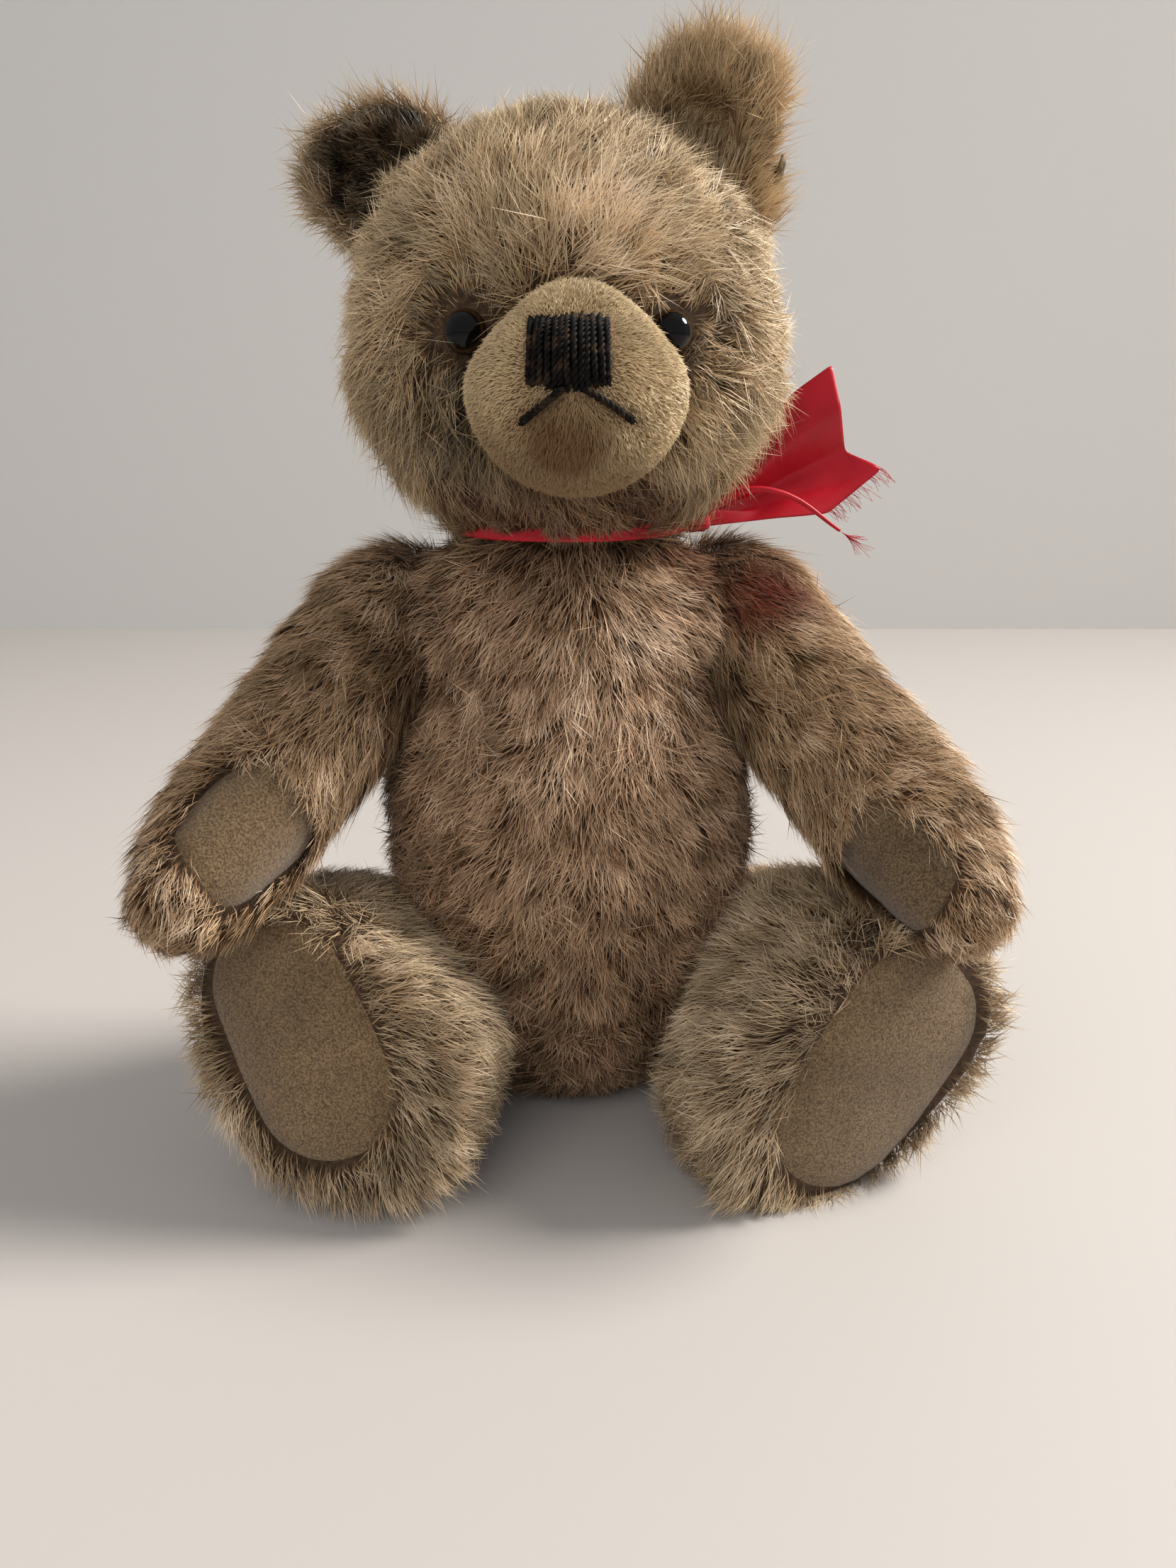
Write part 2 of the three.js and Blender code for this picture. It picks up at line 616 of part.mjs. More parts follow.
function ribbon() {
  const root = [31, 2, 141];
  const upper = panel([root, CREASE_END, [57.5, 6, 171], [35, 3, 146]]);
  const lower = panel([root, CREASE_END, [70, 5, 149.5], [58.5, 1, 141.5], [42, 2, 139.8]]);
  const roll = new THREE.CatmullRomCurve3([
    vec(29, -2, 141.5),
    vec(35, -5, 145.5),
    vec(43, -6, 147.5),
    vec(52, -6, 145),
    vec(58, -6, 140.5),
    vec(63, -6, 137),
  ]);
  const tail = new THREE.ExtrudeGeometry(roundSection(TAIL_ROLL, 6), {
    steps: 16,
    bevelEnabled: false,
    extrudePath: roll,
  });
  const knot = oval(KNOT.at, KNOT.half, { around: 12, along: 8 });
  const whole = band().add(knot).add(upper).add(lower).add(solidOf(tail));
  return piece('neck_ribbon', whole.subtract(headSwept()), satin);
}

// What the head fills as it turns either way, in the torso's frame: the ribbon stays clear of it.
function headSwept() {
  const still = headForm(-TURN_ROOM, 20, 13);
  let swept = still;
  for (let turn = TURN_STEP; turn <= HEAD_RANGE; turn += TURN_STEP) {
    swept = swept.add(still.rotate([0, 0, turn])).add(still.rotate([0, 0, -turn]));
  }
  return swept.rotate([0, 0, HEAD_TURN]).translate(NECK.at);
}

// ---- The bear -------------------------------------------------------------------------------------------------

const bear = new THREE.Group();
bear.add(
  torso(),
  head(),
  arm('arm_right', SHOULDER_RIGHT, -1, 'paw_pad_right'),
  arm('arm_left', SHOULDER_LEFT, 1, 'paw_pad_left'),
  leg('leg_right', HIP_RIGHT, -1, 'foot_pad_right'),
  leg('leg_left', HIP_LEFT, 1, 'foot_pad_left'),
  ribbon(),
);

export default bear;
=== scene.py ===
# %% [markdown]
# # A threadbare teddy bear
#
# The bear is six stuffed pieces of mohair on five disc joints, with felt pads, glass eyes, a stitched nose
# and a frayed satin ribbon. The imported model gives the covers, the joints and the sizes. This file adds
# what the eye sees: smooth stuffed skins, a pile of tens of thousands of fibres, felt, thread, glass and
# cloth.
#
# The bear faces -Y, and its own left side is +X. Everything is in metres.

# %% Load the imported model
import json
import math
import bpy
import bmesh
import numpy as np
from mathutils import Matrix, Vector
from mathutils.bvhtree import BVHTree

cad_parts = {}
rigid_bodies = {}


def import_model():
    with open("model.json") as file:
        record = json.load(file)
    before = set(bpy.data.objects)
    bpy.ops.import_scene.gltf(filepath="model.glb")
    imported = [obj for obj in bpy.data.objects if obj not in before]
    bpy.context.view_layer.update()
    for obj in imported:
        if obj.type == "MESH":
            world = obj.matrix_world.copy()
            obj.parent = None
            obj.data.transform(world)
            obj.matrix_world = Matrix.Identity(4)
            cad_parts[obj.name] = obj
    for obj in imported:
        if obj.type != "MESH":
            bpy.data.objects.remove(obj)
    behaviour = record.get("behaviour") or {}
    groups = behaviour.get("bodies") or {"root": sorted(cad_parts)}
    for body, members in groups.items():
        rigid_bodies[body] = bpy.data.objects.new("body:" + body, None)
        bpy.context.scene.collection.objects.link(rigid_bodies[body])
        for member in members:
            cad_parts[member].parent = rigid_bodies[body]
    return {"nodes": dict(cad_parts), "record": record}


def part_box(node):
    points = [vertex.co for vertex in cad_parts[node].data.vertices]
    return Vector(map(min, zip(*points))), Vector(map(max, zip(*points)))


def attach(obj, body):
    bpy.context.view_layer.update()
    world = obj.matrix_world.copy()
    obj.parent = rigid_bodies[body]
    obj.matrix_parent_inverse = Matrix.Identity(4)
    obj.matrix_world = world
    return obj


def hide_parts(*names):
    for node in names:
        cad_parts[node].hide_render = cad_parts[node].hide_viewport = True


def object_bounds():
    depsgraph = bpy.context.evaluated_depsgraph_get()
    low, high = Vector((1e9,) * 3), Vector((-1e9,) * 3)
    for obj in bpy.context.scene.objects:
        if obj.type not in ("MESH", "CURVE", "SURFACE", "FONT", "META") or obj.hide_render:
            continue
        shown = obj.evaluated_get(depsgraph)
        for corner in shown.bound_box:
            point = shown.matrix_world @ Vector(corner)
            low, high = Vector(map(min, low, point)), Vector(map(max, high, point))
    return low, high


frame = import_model()
cad_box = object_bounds()
NODES = frame["nodes"]
JOINTS = {joint["name"]: joint for joint in frame["record"]["behaviour"]["joints"]}
MM = 0.001
LOWEST = min(corner[2] for corner in cad_box)
print("nodes", len(NODES), "box", [list(corner) for corner in cad_box])

# %% [markdown]
# ## Camera
#
# A hand-held camera about 30 cm away, a little above the bear's chest and looking down at it. A wide lens
# this close makes the feet and the head large, so the distance matters as much as the direction.

# %% Camera
camera_data = bpy.data.cameras.new("camera")
camera_data.sensor_fit = "HORIZONTAL"
camera_data.sensor_width = 36
camera_data.lens = 36
camera_data.clip_start = 0.01
camera = bpy.data.objects.new("camera", camera_data)
camera.location = (0.005, -0.275, 0.161)
camera.rotation_euler = (math.radians(73), 0, 0)
bpy.context.collection.objects.link(camera)
bpy.context.scene.camera = camera
print("camera at", tuple(camera.location))


# %% [markdown]
# ## Small helpers
#
# A mesh made from arrays of points and faces, and a reader for the points of a CAD node. Every finished
# piece keeps its place in its mesh, so that its object stays at the origin.

# %% Mesh helpers
def points_of(mesh):
    """The vertices of a mesh as an array."""
    flat = np.empty(len(mesh.vertices) * 3)
    mesh.vertices.foreach_get("co", flat)
    return flat.reshape(-1, 3)


def move_points(mesh, points):
    mesh.vertices.foreach_set("co", np.asarray(points, dtype=np.float32).ravel())
    mesh.update()


def normals_of(mesh):
    """The vertex normals of a mesh as an array."""
    flat = np.empty(len(mesh.vertices) * 3)
    mesh.vertex_normals.foreach_get("vector", flat)
    return flat.reshape(-1, 3)


def put(name, mesh):
    """An object in the scene for a mesh."""
    made = bpy.data.objects.new(name, mesh)
    bpy.context.collection.objects.link(made)
    return made


def mesh_from(name, points, faces, smooth=True):
    mesh = bpy.data.meshes.new(name)
    mesh.from_pydata([tuple(point) for point in points], [], faces)
    mesh.validate()
    if smooth:
        mesh.shade_smooth()
    else:
        mesh.shade_flat()
    return mesh


def write(mesh, name, values):
    """A number for each vertex, kept under a name."""
    mesh.attributes.new(name, "FLOAT", "POINT").data.foreach_set("value", values)


def settled(made):
    """The object's mesh with its modifiers applied, and the modifiers gone."""
    depsgraph = bpy.context.evaluated_depsgraph_get()
    mesh = bpy.data.meshes.new_from_object(made.evaluated_get(depsgraph))
    made.modifiers.clear()
    made.data = mesh
    return mesh


def unit(vectors):
    vectors = np.asarray(vectors, dtype=float)
    return vectors / np.maximum(np.linalg.norm(vectors, axis=-1, keepdims=True), 1e-9)


def smooth_step(value, low, high):
    """0 below low, 1 above high, and a smooth ramp between."""
    ramp = np.clip((value - low) / (high - low), 0, 1)
    return ramp * ramp * (3 - 2 * ramp)


def surface_of(made):
    """A tree of an object's faces, for casting rays at it."""
    faces = [tuple(face.vertices) for face in made.data.polygons]
    return BVHTree.FromPolygons([tuple(point) for point in points_of(made.data)], faces)


def triangles_of(made):
    return sum(len(face.vertices) - 2 for face in made.data.polygons)


print("a smooth ramp a quarter of the way:", round(float(smooth_step(0.25, 0, 1)), 3))


# %% [markdown]
# ## Stuffed skins
#
# Each cover is a bag sewn from flat panels and packed hard with wood wool, so its shape is a tight convex
# form with soft edges. A shell could be modelled by hand from the seams outwards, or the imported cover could
# be used as it is, but that one has few facets. Here the cover's outermost points are wrapped, the wrap is
# remeshed into small even faces, and a few rounds of smoothing take the facets out. The even faces also
# carry the pile well.

# %% Wrap, remesh and smooth a cover
def wrapped(points):
    """The tight wrap round a cloud of points, as a mesh."""
    work = bmesh.new()
    for point in points:
        work.verts.new(point)
    hull = bmesh.ops.convex_hull(work, input=work.verts)
    unused = hull["geom_interior"] + hull["geom_unused"]
    loose = {part for part in unused if isinstance(part, bmesh.types.BMVert)}
    bmesh.ops.delete(work, geom=list(loose), context="VERTS")
    mesh = bpy.data.meshes.new("wrap")
    work.to_mesh(mesh)
    work.free()
    return mesh


def evened(name, mesh, voxel, rounds):
    """An object of small even faces over a closed mesh, smoothed."""
    made = put(name, mesh)
    remesh = made.modifiers.new("even faces", "REMESH")
    remesh.mode = "VOXEL"
    remesh.voxel_size = voxel
    relax = made.modifiers.new("relax", "SMOOTH")
    relax.factor = 0.5
    relax.iterations = rounds
    settled(made)
    made.data.shade_smooth()
    return made


def skin(name, node, voxel=2.0 * MM, rounds=10, grow=0.3 * MM):
    """A smooth skin over a CAD node, pushed out by grow."""
    made = evened(name, wrapped(points_of(NODES[node].data)), voxel, rounds)
    move_points(made.data, points_of(made.data) + grow * normals_of(made.data))
    print(name, len(made.data.polygons), "faces")
    return made


SIDES = ("right", "left")
torso = skin("torso", "torso_cover")
head = skin("head", "head_cover")
arms = {side: skin(f"arm_{side}", f"arm_{side}_cover", voxel=1.8 * MM) for side in SIDES}
legs = {side: skin(f"leg_{side}", f"leg_{side}_cover", voxel=1.8 * MM) for side in SIDES}
BIG_SKINS = (torso, head, *arms.values(), *legs.values())

# %% [markdown]
# ## Where the joints are
#
# A limb hangs on a hardboard disc inside the body, and everything on it is placed from that disc: how far
# down the limb a point lies, and which way the pad at its end faces. The places could be measured by eye,
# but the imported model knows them, so they are read from it.

# %% Joints and limbs
def joint_of(name):
    """The middle of a joint and the direction of its axis."""
    joint = JOINTS[name]
    return np.array(joint["pos_m"], float), unit(joint["axis"])


def box_of(node):
    low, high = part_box(node)
    return np.array(low), np.array(high)


def middle_of(node):
    return sum(box_of(node)) / 2


def limb_lines(joint, pad):
    """A limb's joint, the way its pad lies from it, and the pad's middle."""
    middle = joint_of(joint)[0]
    end = middle_of(pad)
    return middle, unit(end - middle), end


def along_limb(points, middle, down):
    """How far down a limb points lie from its joint, and how they stand off its line."""
    along = (points - middle) @ down
    return along, points - middle - np.outer(along, down)


for side in SIDES:
    print("arm", side, "points", limb_lines(f"shoulder_{side}", f"paw_pad_{side}")[1].round(2))
    print("leg", side, "points", limb_lines(f"hip_{side}", f"foot_pad_{side}")[1].round(2))

# %% [markdown]
# ## How the filling has settled
#
# Wood wool shifts with the years. The belly has spread, the crown has sunk between the ears, and the hands
# and feet are still packed hard. A sculpting brush could do this, but it can't be repeated, so each change
# is a rule on the skin's points: push them one way, fading in and out along the piece. Two more rules keep
# the limbs clear of each other when they move.

# %% Belly and crown
SHOULDER_PLANE = abs(JOINTS["shoulder_left"]["pos_m"][0])
SHOULDER_GAP = 0.8 * MM


def settle_belly():
    """The belly is a little wider than the chest. The shoulders reach to the arms."""
    points = points_of(torso.data)
    z = points[:, 2]
    wider = smooth_step(z, 36 * MM, 62 * MM) * (1 - smooth_step(z, 80 * MM, 108 * MM))
    points[:, 0] *= 1 + 0.1 * wider
    shoulder = smooth_step(z, 106 * MM, 118 * MM) * (1 - smooth_step(z, 128 * MM, 137 * MM))
    limit = SHOULDER_PLANE - SHOULDER_GAP
    broad = np.clip(points[:, 0] * (1 + 0.25 * shoulder), -limit, limit)
    points[:, 0] = broad * shoulder + points[:, 0] * (1 - shoulder)
    move_points(torso.data, points)
    print("belly", int((wider > 0.5).sum()), "points wider")


def flatten_crown():
    """The crown has sunk between the ears."""
    points = points_of(head.data)
    points[:, 2] -= 3.5 * MM * smooth_step(points[:, 2], 188 * MM, 223 * MM)
    move_points(head.data, points)
    print("crown now at", round(points[:, 2].max() / MM, 1), "mm")


settle_belly()
flatten_crown()


# %% Feet, thighs and hands
def fill_foot(side, medial, push, lateral):
    """The foot is wider than the shank: by push on its inner side, and by lateral on its outer."""
    middle, down = limb_lines(f"hip_{side}", f"foot_pad_{side}")[:2]
    points = points_of(legs[side].data)
    along, radial = along_limb(points, middle, down)
    inward = unit((medial, 0, -0.2))
    out = np.linalg.norm(radial, axis=1)
    share = np.minimum(out / (14 * MM), 1)
    facing = unit(radial) @ inward
    inner = np.clip(facing, 0, 1) ** 1.5 * share * smooth_step(along, 24 * MM, 42 * MM)
    outer = np.clip(-facing, 0, 1) ** 1.5 * share * smooth_step(along, 18 * MM, 42 * MM)
    points += 0.09 * radial * smooth_step(along, 12 * MM, 40 * MM)[:, None]
    points += np.outer(push * inner, inward) - np.outer(lateral * outer, inward)
    points[:, 2] = np.maximum(points[:, 2], LOWEST + 0.4 * MM)
    move_points(legs[side].data, points)
    print("foot", side, "reaches", round(along.max() / MM, 1), "mm from its hip")


def fill_thigh(side, push):
    """The thigh stands up beside the hip, round its disc."""
    points = points_of(legs[side].data)
    off = points - joint_of(f"hip_{side}")[0]
    upper = smooth_step(off[:, 2], 4 * MM, 22 * MM)
    points[:, 2] += push * upper * (1 - smooth_step(-off[:, 1], 14 * MM, 44 * MM))
    move_points(legs[side].data, points)


def fill_hand(side, way, push):
    """The hand is packed full on its outer side."""
    middle, down = limb_lines(f"shoulder_{side}", f"paw_pad_{side}")[:2]
    points = points_of(arms[side].data)
    along, radial = along_limb(points, middle, down)
    outward = unit((way, 0, 0.25))
    outer = np.clip(unit(radial) @ outward, 0, 1) ** 1.5 * smooth_step(along, 30 * MM, 58 * MM)
    outer *= np.minimum(np.linalg.norm(radial, axis=1) / (12 * MM), 1)
    move_points(arms[side].data, points + np.outer(push * outer, outward))


fill_foot("right", 1, 17 * MM, 0 * MM)
fill_foot("left", -1, 12 * MM, 12 * MM)
fill_hand("left", 1, 3 * MM)
fill_thigh("right", 4 * MM)
fill_thigh("left", 8 * MM)


# %% Room for the limbs to move
MIDDLE_GAP = 0.8 * MM


def turned_down(points, joint):
    """Points turned about a joint to its lowest angle, and the turn."""
    middle, axis = joint_of(joint)
    lowest = math.radians(JOINTS[joint]["range_deg"][0])
    turn = np.array(Matrix.Rotation(lowest, 3, Vector(axis)))
    return (points - middle) @ turn.T + middle, turn


def keep_apart(side, way):
    """With the legs hanging down the feet stand side by side, so neither reaches past the middle."""
    points = points_of(legs[side].data)
    hanging, turn = turned_down(points, f"hip_{side}")
    over = np.maximum(MIDDLE_GAP - way * hanging[:, 0], 0)
    move_points(legs[side].data, points + np.outer(way * over, turn[0]))
    print("leg", side, int((over > 0).sum()), "points drawn back from the middle")


def press_hollow(side, clearance):
    """The hand, brought down, lies in a hollow it has pressed in the foot."""
    mesh = arms[side].data
    hand = turned_down(points_of(mesh), f"shoulder_{side}")[0]
    faces = [tuple(face.vertices) for face in mesh.polygons]
    tree = BVHTree.FromPolygons([tuple(point) for point in hand], faces)
    points = points_of(legs[side].data)
    pressed_in = 0
    for index, point in enumerate(points):
        nearest, normal, face, gap = tree.find_nearest(Vector(point))
        if (Vector(point) - nearest).dot(normal) < clearance and gap < 12 * MM:
            points[index] = nearest + normal * clearance
            pressed_in += 1
    move_points(legs[side].data, points)
    print("hollow", side, pressed_in, "points")


keep_apart("right", -1)
keep_apart("left", 1)
press_hollow("left", 2.2 * MM)

# %% [markdown]
# ## The pile
#
# Mohair is a woven backing with long glossy fibres that stand in it in rows. They lean along the nap,
# gather into locks, and are dark at the root and pale at the tip where the light has bleached them. Fibres
# could be particle hair, but that isn't a mesh. A Geometry Nodes tree scatters points over a skin, puts a
# narrow kite of two triangles at each, and bends every one by a rule: up from the skin first, then over
# along the nap, with the tips of a lock drawn together and each lock leaning its own way.
#
# Each skin carries four attributes for the tree: nap (the way the fibres lean), pile (their length), lift
# (how far they stand up) and cover (how many there are), and two for the material: tone (how bright they
# are, which in places also holds painted shade and painted light) and how much of a second colour is mixed
# in (a painted red shade and reflection of the ribbon on the fur near it, and on the muzzle a darker brown
# towards its bottom and under the mouth).

# %% Blade
BLADE_SIZE = 0.1 * MM


def blade_mesh():
    """One fibre as a thin kite. Its points say how far along and to which side they are."""
    along = [0, 0.45, 0.45, 1]
    side = [0, -1, 1, 0]
    points = [(s * BLADE_SIZE, 0, a * BLADE_SIZE) for a, s in zip(along, side)]
    mesh = mesh_from("blade", points, [(0, 2, 1), (1, 2, 3)])
    write(mesh, "along", along)
    write(mesh, "side", side)
    return mesh


blade = bpy.data.objects.new("blade", blade_mesh())
print("blade", triangles_of(blade), "triangles")


# %% Node helpers
def set_inputs(tree, node, values):
    """Inputs by name or number: another socket is linked, anything else is the value."""
    for key, value in values.items():
        if isinstance(value, bpy.types.NodeSocket):
            tree.links.new(value, node.inputs[key])
        else:
            node.inputs[key].default_value = value


def add_node(tree, kind, inputs=None, **settings):
    made = tree.nodes.new(kind)
    for setting, value in settings.items():
        setattr(made, setting, value)
    set_inputs(tree, made, inputs or {})
    return made


class Tree:
    """A short way to write a Geometry Nodes tree."""

    def __init__(self, name, inputs):
        self.tree = bpy.data.node_groups.new(name, "GeometryNodeTree")
        self.ids = {}
        self.tree.interface.new_socket("Geometry", in_out="INPUT", socket_type="NodeSocketGeometry")
        for label, kind in inputs.items():
            socket = self.tree.interface.new_socket(label, in_out="INPUT", socket_type=kind)
            self.ids[label] = socket.identifier
        self.tree.interface.new_socket("Geometry", in_out="OUTPUT", socket_type="NodeSocketGeometry")
        self.inputs = self.tree.nodes.new("NodeGroupInput").outputs
        self.output = self.tree.nodes.new("NodeGroupOutput").inputs[0]

    def link(self, source, target):
        self.tree.links.new(source, target)

    def node(self, kind, inputs=None, **settings):
        return add_node(self.tree, kind, inputs, **settings)

    def math(self, operation, *values):
        return self.node("ShaderNodeMath", dict(enumerate(values)), operation=operation).outputs[0]

    def vector(self, operation, *values):
        keys = (0, "Scale") if operation == "SCALE" else range(len(values))
        made = self.node("ShaderNodeVectorMath", dict(zip(keys, values)), operation=operation)
        return made.outputs["Value" if operation == "DOT_PRODUCT" else "Vector"]

    def total(self, first, *others):
        for other in others:
            first = self.vector("ADD", first, other)
        return first

    def attribute(self, name, kind="FLOAT"):
        made = self.node("GeometryNodeInputNamedAttribute", {"Name": name}, data_type=kind)
        return made.outputs["Attribute"]

    def random(self, low, high, seed, kind="FLOAT"):
        first, out = (0, 0) if kind == "FLOAT_VECTOR" else (2, 1)
        inputs = {first: low, first + 1: high, "Seed": seed}
        return self.node("FunctionNodeRandomValue", inputs, data_type=kind).outputs[out]

    def store(self, geometry, name, value, kind="FLOAT"):
        """The geometry with a value kept on each of its points."""
        inputs = {"Geometry": geometry, "Name": name, "Value": value}
        made = self.node("GeometryNodeStoreNamedAttribute", inputs, data_type=kind, domain="POINT")
        return made.outputs["Geometry"]

    def finish(self, geometry, spent):
        """The last steps of a tree: the attributes only it needs go, and the material is set."""
        for name in spent:
            gone = self.node("GeometryNodeRemoveAttribute", {"Geometry": geometry, "Name": name})
            geometry = gone.outputs[0]
        inputs = {"Geometry": geometry, "Material": self.inputs["Material"]}
        self.link(self.node("GeometryNodeSetMaterial", inputs).outputs[0], self.output)


def grown(made, tree, values):
    """The object's mesh as a tree makes it, with the tree's inputs set by their identifiers."""
    modifier = made.modifiers.new("tree", "NODES")
    modifier.node_group = tree.tree
    for label, value in values.items():
        modifier[tree.ids[label]] = value
    settled(made)
    made.data.shade_smooth()
    print(made.name, triangles_of(made), "triangles")
    return made


print("node helpers ready")


# %% The tree that makes a pile
SWIRLS = 75.0
WAVE = 0.1
SMALL_LOCK = 0.42


def pile_tree():
    tree = Tree("pile", {
        "Fibres per square metre": "NodeSocketFloat",
        "Seed": "NodeSocketInt",
        "Width": "NodeSocketFloat",
        "Lock size": "NodeSocketFloat",
        "Lock pull": "NodeSocketFloat",
        "Lock shift": "NodeSocketFloat",
        "Disorder": "NodeSocketFloat",
        "Lowest": "NodeSocketFloat",
        "Blade": "NodeSocketObject",
        "Material": "NodeSocketMaterial",
    })
    given = tree.inputs
    amount = tree.math("MULTIPLY", tree.attribute("cover"), given["Fibres per square metre"])
    scatter = tree.node("GeometryNodeDistributePointsOnFaces",
                        {"Mesh": given["Geometry"], "Density": amount, "Seed": given["Seed"]},
                        distribute_method="RANDOM")
    points = scatter.outputs["Points"]

    def drawn(low, high, step, kind="FLOAT"):
        return tree.random(low, high, tree.math("ADD", given["Seed"], float(step)), kind)

    place = tree.node("GeometryNodeInputPosition").outputs[0]
    points = tree.store(points, "root", place, "FLOAT_VECTOR")
    points = tree.store(points, "up", scatter.outputs["Normal"], "FLOAT_VECTOR")
    overlong = tree.math("MULTIPLY", tree.math("POWER", drawn(0.0, 1.0, 6), 12.0), 0.6)
    share = tree.math("ADD", drawn(0.6, 1.12, 1), overlong)
    points = tree.store(points, "length", tree.math("MULTIPLY", tree.attribute("pile"), share))
    points = tree.store(points, "twist", drawn(-0.9, 0.9, 2))
    points = tree.store(points, "phase", drawn(0.0, 6.28, 3))
    stray = drawn((-1, -1, -1), (1, 1, 1), 5, "FLOAT_VECTOR")
    points = tree.store(points, "stray", stray, "FLOAT_VECTOR")

    source = tree.node("GeometryNodeObjectInfo", {"Object": given["Blade"]}, transform_space="ORIGINAL")
    inputs = {"Points": points, "Instance": source.outputs["Geometry"]}
    blades = tree.node("GeometryNodeInstanceOnPoints", inputs)
    real = tree.node("GeometryNodeRealizeInstances", {0: blades.outputs[0]}).outputs[0]

    root = tree.attribute("root", "FLOAT_VECTOR")
    up = tree.attribute("up", "FLOAT_VECTOR")
    length = tree.attribute("length")
    along = tree.attribute("along")
    lift = tree.attribute("lift")
    stray = tree.attribute("stray", "FLOAT_VECTOR")

    def locks(size):
        """The cell of a lock of some size that a fibre stands in."""
        across = tree.math("DIVIDE", 1.0, tree.math("MULTIPLY", given["Lock size"], size))
        cells = tree.node("ShaderNodeTexVoronoi", {"Scale": across, "Vector": root}, feature="F1")
        return cells.outputs

    large = locks(1.0)
    small = locks(SMALL_LOCK)
    shade = tree.node("ShaderNodeSeparateXYZ", {"Vector": large["Color"]}).outputs[0]
    fine_shade = tree.node("ShaderNodeSeparateXYZ", {"Vector": small["Color"]}).outputs[0]
    shade = tree.math("ADD", tree.math("MULTIPLY", shade, 0.3), tree.math("MULTIPLY", fine_shade, 0.28))
    real = tree.store(real, "chance", tree.math("ADD", shade, drawn(0.0, 0.42, 4)))

    # The nap with slow swirls, as handling leaves them, and each fibre's own disorder.
    swirl = tree.node("ShaderNodeTexNoise", {"Vector": root, "Scale": SWIRLS, "Detail": 2.0}).outputs["Color"]
    swirl = tree.vector("SCALE", tree.vector("SUBTRACT", swirl, (0.5, 0.5, 0.5)), 1.5)
    untidy = tree.vector("SCALE", stray, given["Disorder"])
    shift = tree.vector("SUBTRACT", tree.vector("ADD", large["Color"], small["Color"]), (1.0, 1.0, 1.0))
    shift = tree.vector("SCALE", shift, given["Lock shift"])
    lean = tree.total(tree.attribute("nap", "FLOAT_VECTOR"), swirl, untidy, shift)
    into = tree.vector("SCALE", up, tree.math("MULTIPLY", tree.vector("DOT_PRODUCT", lean, up), -1.0))
    lean = tree.vector("NORMALIZE", tree.vector("ADD", lean, into))

    # Up from the skin first, then over along the nap.
    rise = tree.math("MULTIPLY", along, tree.math("SUBTRACT", 1.0, tree.math("MULTIPLY", along, 0.45)))
    rise = tree.math("MULTIPLY", tree.math("MULTIPLY", rise, lift), length)
    reach = tree.math("MULTIPLY", along, tree.math("ADD", 0.55, tree.math("MULTIPLY", along, 0.45)))
    level = tree.math("SUBTRACT", 1.0, tree.math("POWER", lift, 2.0))
    level = tree.math("SQRT", tree.math("MAXIMUM", level, 0.05))
    reach = tree.math("MULTIPLY", tree.math("MULTIPLY", reach, level), length)
    bent = tree.total(root, tree.vector("SCALE", up, rise), tree.vector("SCALE", lean, reach))

    # The tips of a lock lean to its middle, in locks of two sizes.
    drawn_in = tree.math("MULTIPLY", tree.math("POWER", along, 1.4), given["Lock pull"])
    for cells, share in ((large, 0.6), (small, 0.5)):
        middle = tree.vector("SUBTRACT", cells["Position"], root)
        bent = tree.vector("ADD", bent, tree.vector("SCALE", middle, tree.math("MULTIPLY", drawn_in, share)))

    # A slight wave, and the width of the blade across the way it runs.
    across = tree.vector("NORMALIZE", tree.vector("CROSS_PRODUCT", lean, up))
    twist = tree.attribute("twist")
    turned = tree.vector("ADD", tree.vector("SCALE", across, tree.math("COSINE", twist)),
                         tree.vector("SCALE", up, tree.math("SINE", twist)))
    wave = tree.math("SINE", tree.math("ADD", tree.math("MULTIPLY", along, 4.0), tree.attribute("phase")))
    wave = tree.math("MULTIPLY", tree.math("MULTIPLY", wave, along), tree.math("MULTIPLY", length, WAVE))
    half = tree.math("MULTIPLY", tree.attribute("side"), tree.math("MULTIPLY", given["Width"], 0.5))
    bent = tree.total(bent, tree.vector("SCALE", across, wave), tree.vector("SCALE", turned, half))

    # No fibre goes through what the bear sits on.
    parts = tree.node("ShaderNodeSeparateXYZ", {"Vector": bent}).outputs
    above = tree.math("MAXIMUM", parts[2], given["Lowest"])
    bent = tree.node("ShaderNodeCombineXYZ", {"X": parts[0], "Y": parts[1], "Z": above}).outputs[0]

    placed = tree.node("GeometryNodeSetPosition", {"Geometry": real, "Position": bent}).outputs[0]
    tree.finish(placed, ("root", "up", "length", "twist", "phase", "stray", "side", "nap", "pile", "lift",
                         "cover"))
    return tree


PILE = pile_tree()
print("pile tree", len(PILE.tree.nodes), "nodes")


def grow_pile(name, over, material, fibres, seed, width=0.22 * MM, lock=5.5 * MM, pull=0.6, disorder=0.3,
              shift=0.4):
    """A pile over a skin, as one plain mesh."""
    return grown(put(name, over.data.copy()), PILE, {
        "Fibres per square metre": float(fibres), "Seed": seed, "Width": width, "Lock size": lock,
        "Lock pull": pull, "Lock shift": shift, "Disorder": disorder, "Lowest": LOWEST, "Blade": blade,
        "Material": material,
    })


def set_pile(made, nap, pile, lift, cover=1.0, tone=0.5, stain=0.0):
    """Writes the pile's attributes on a skin's vertices."""
    nap = unit(nap).astype(np.float32)
    made.data.attributes.new("nap", "FLOAT_VECTOR", "POINT").data.foreach_set("vector", nap.ravel())
    for name, values in (("pile", pile), ("lift", lift), ("cover", cover), ("tone", tone), ("stain", stain)):
        values = np.broadcast_to(np.asarray(values, dtype=np.float32), len(nap)).copy()
        write(made.data, name, values)


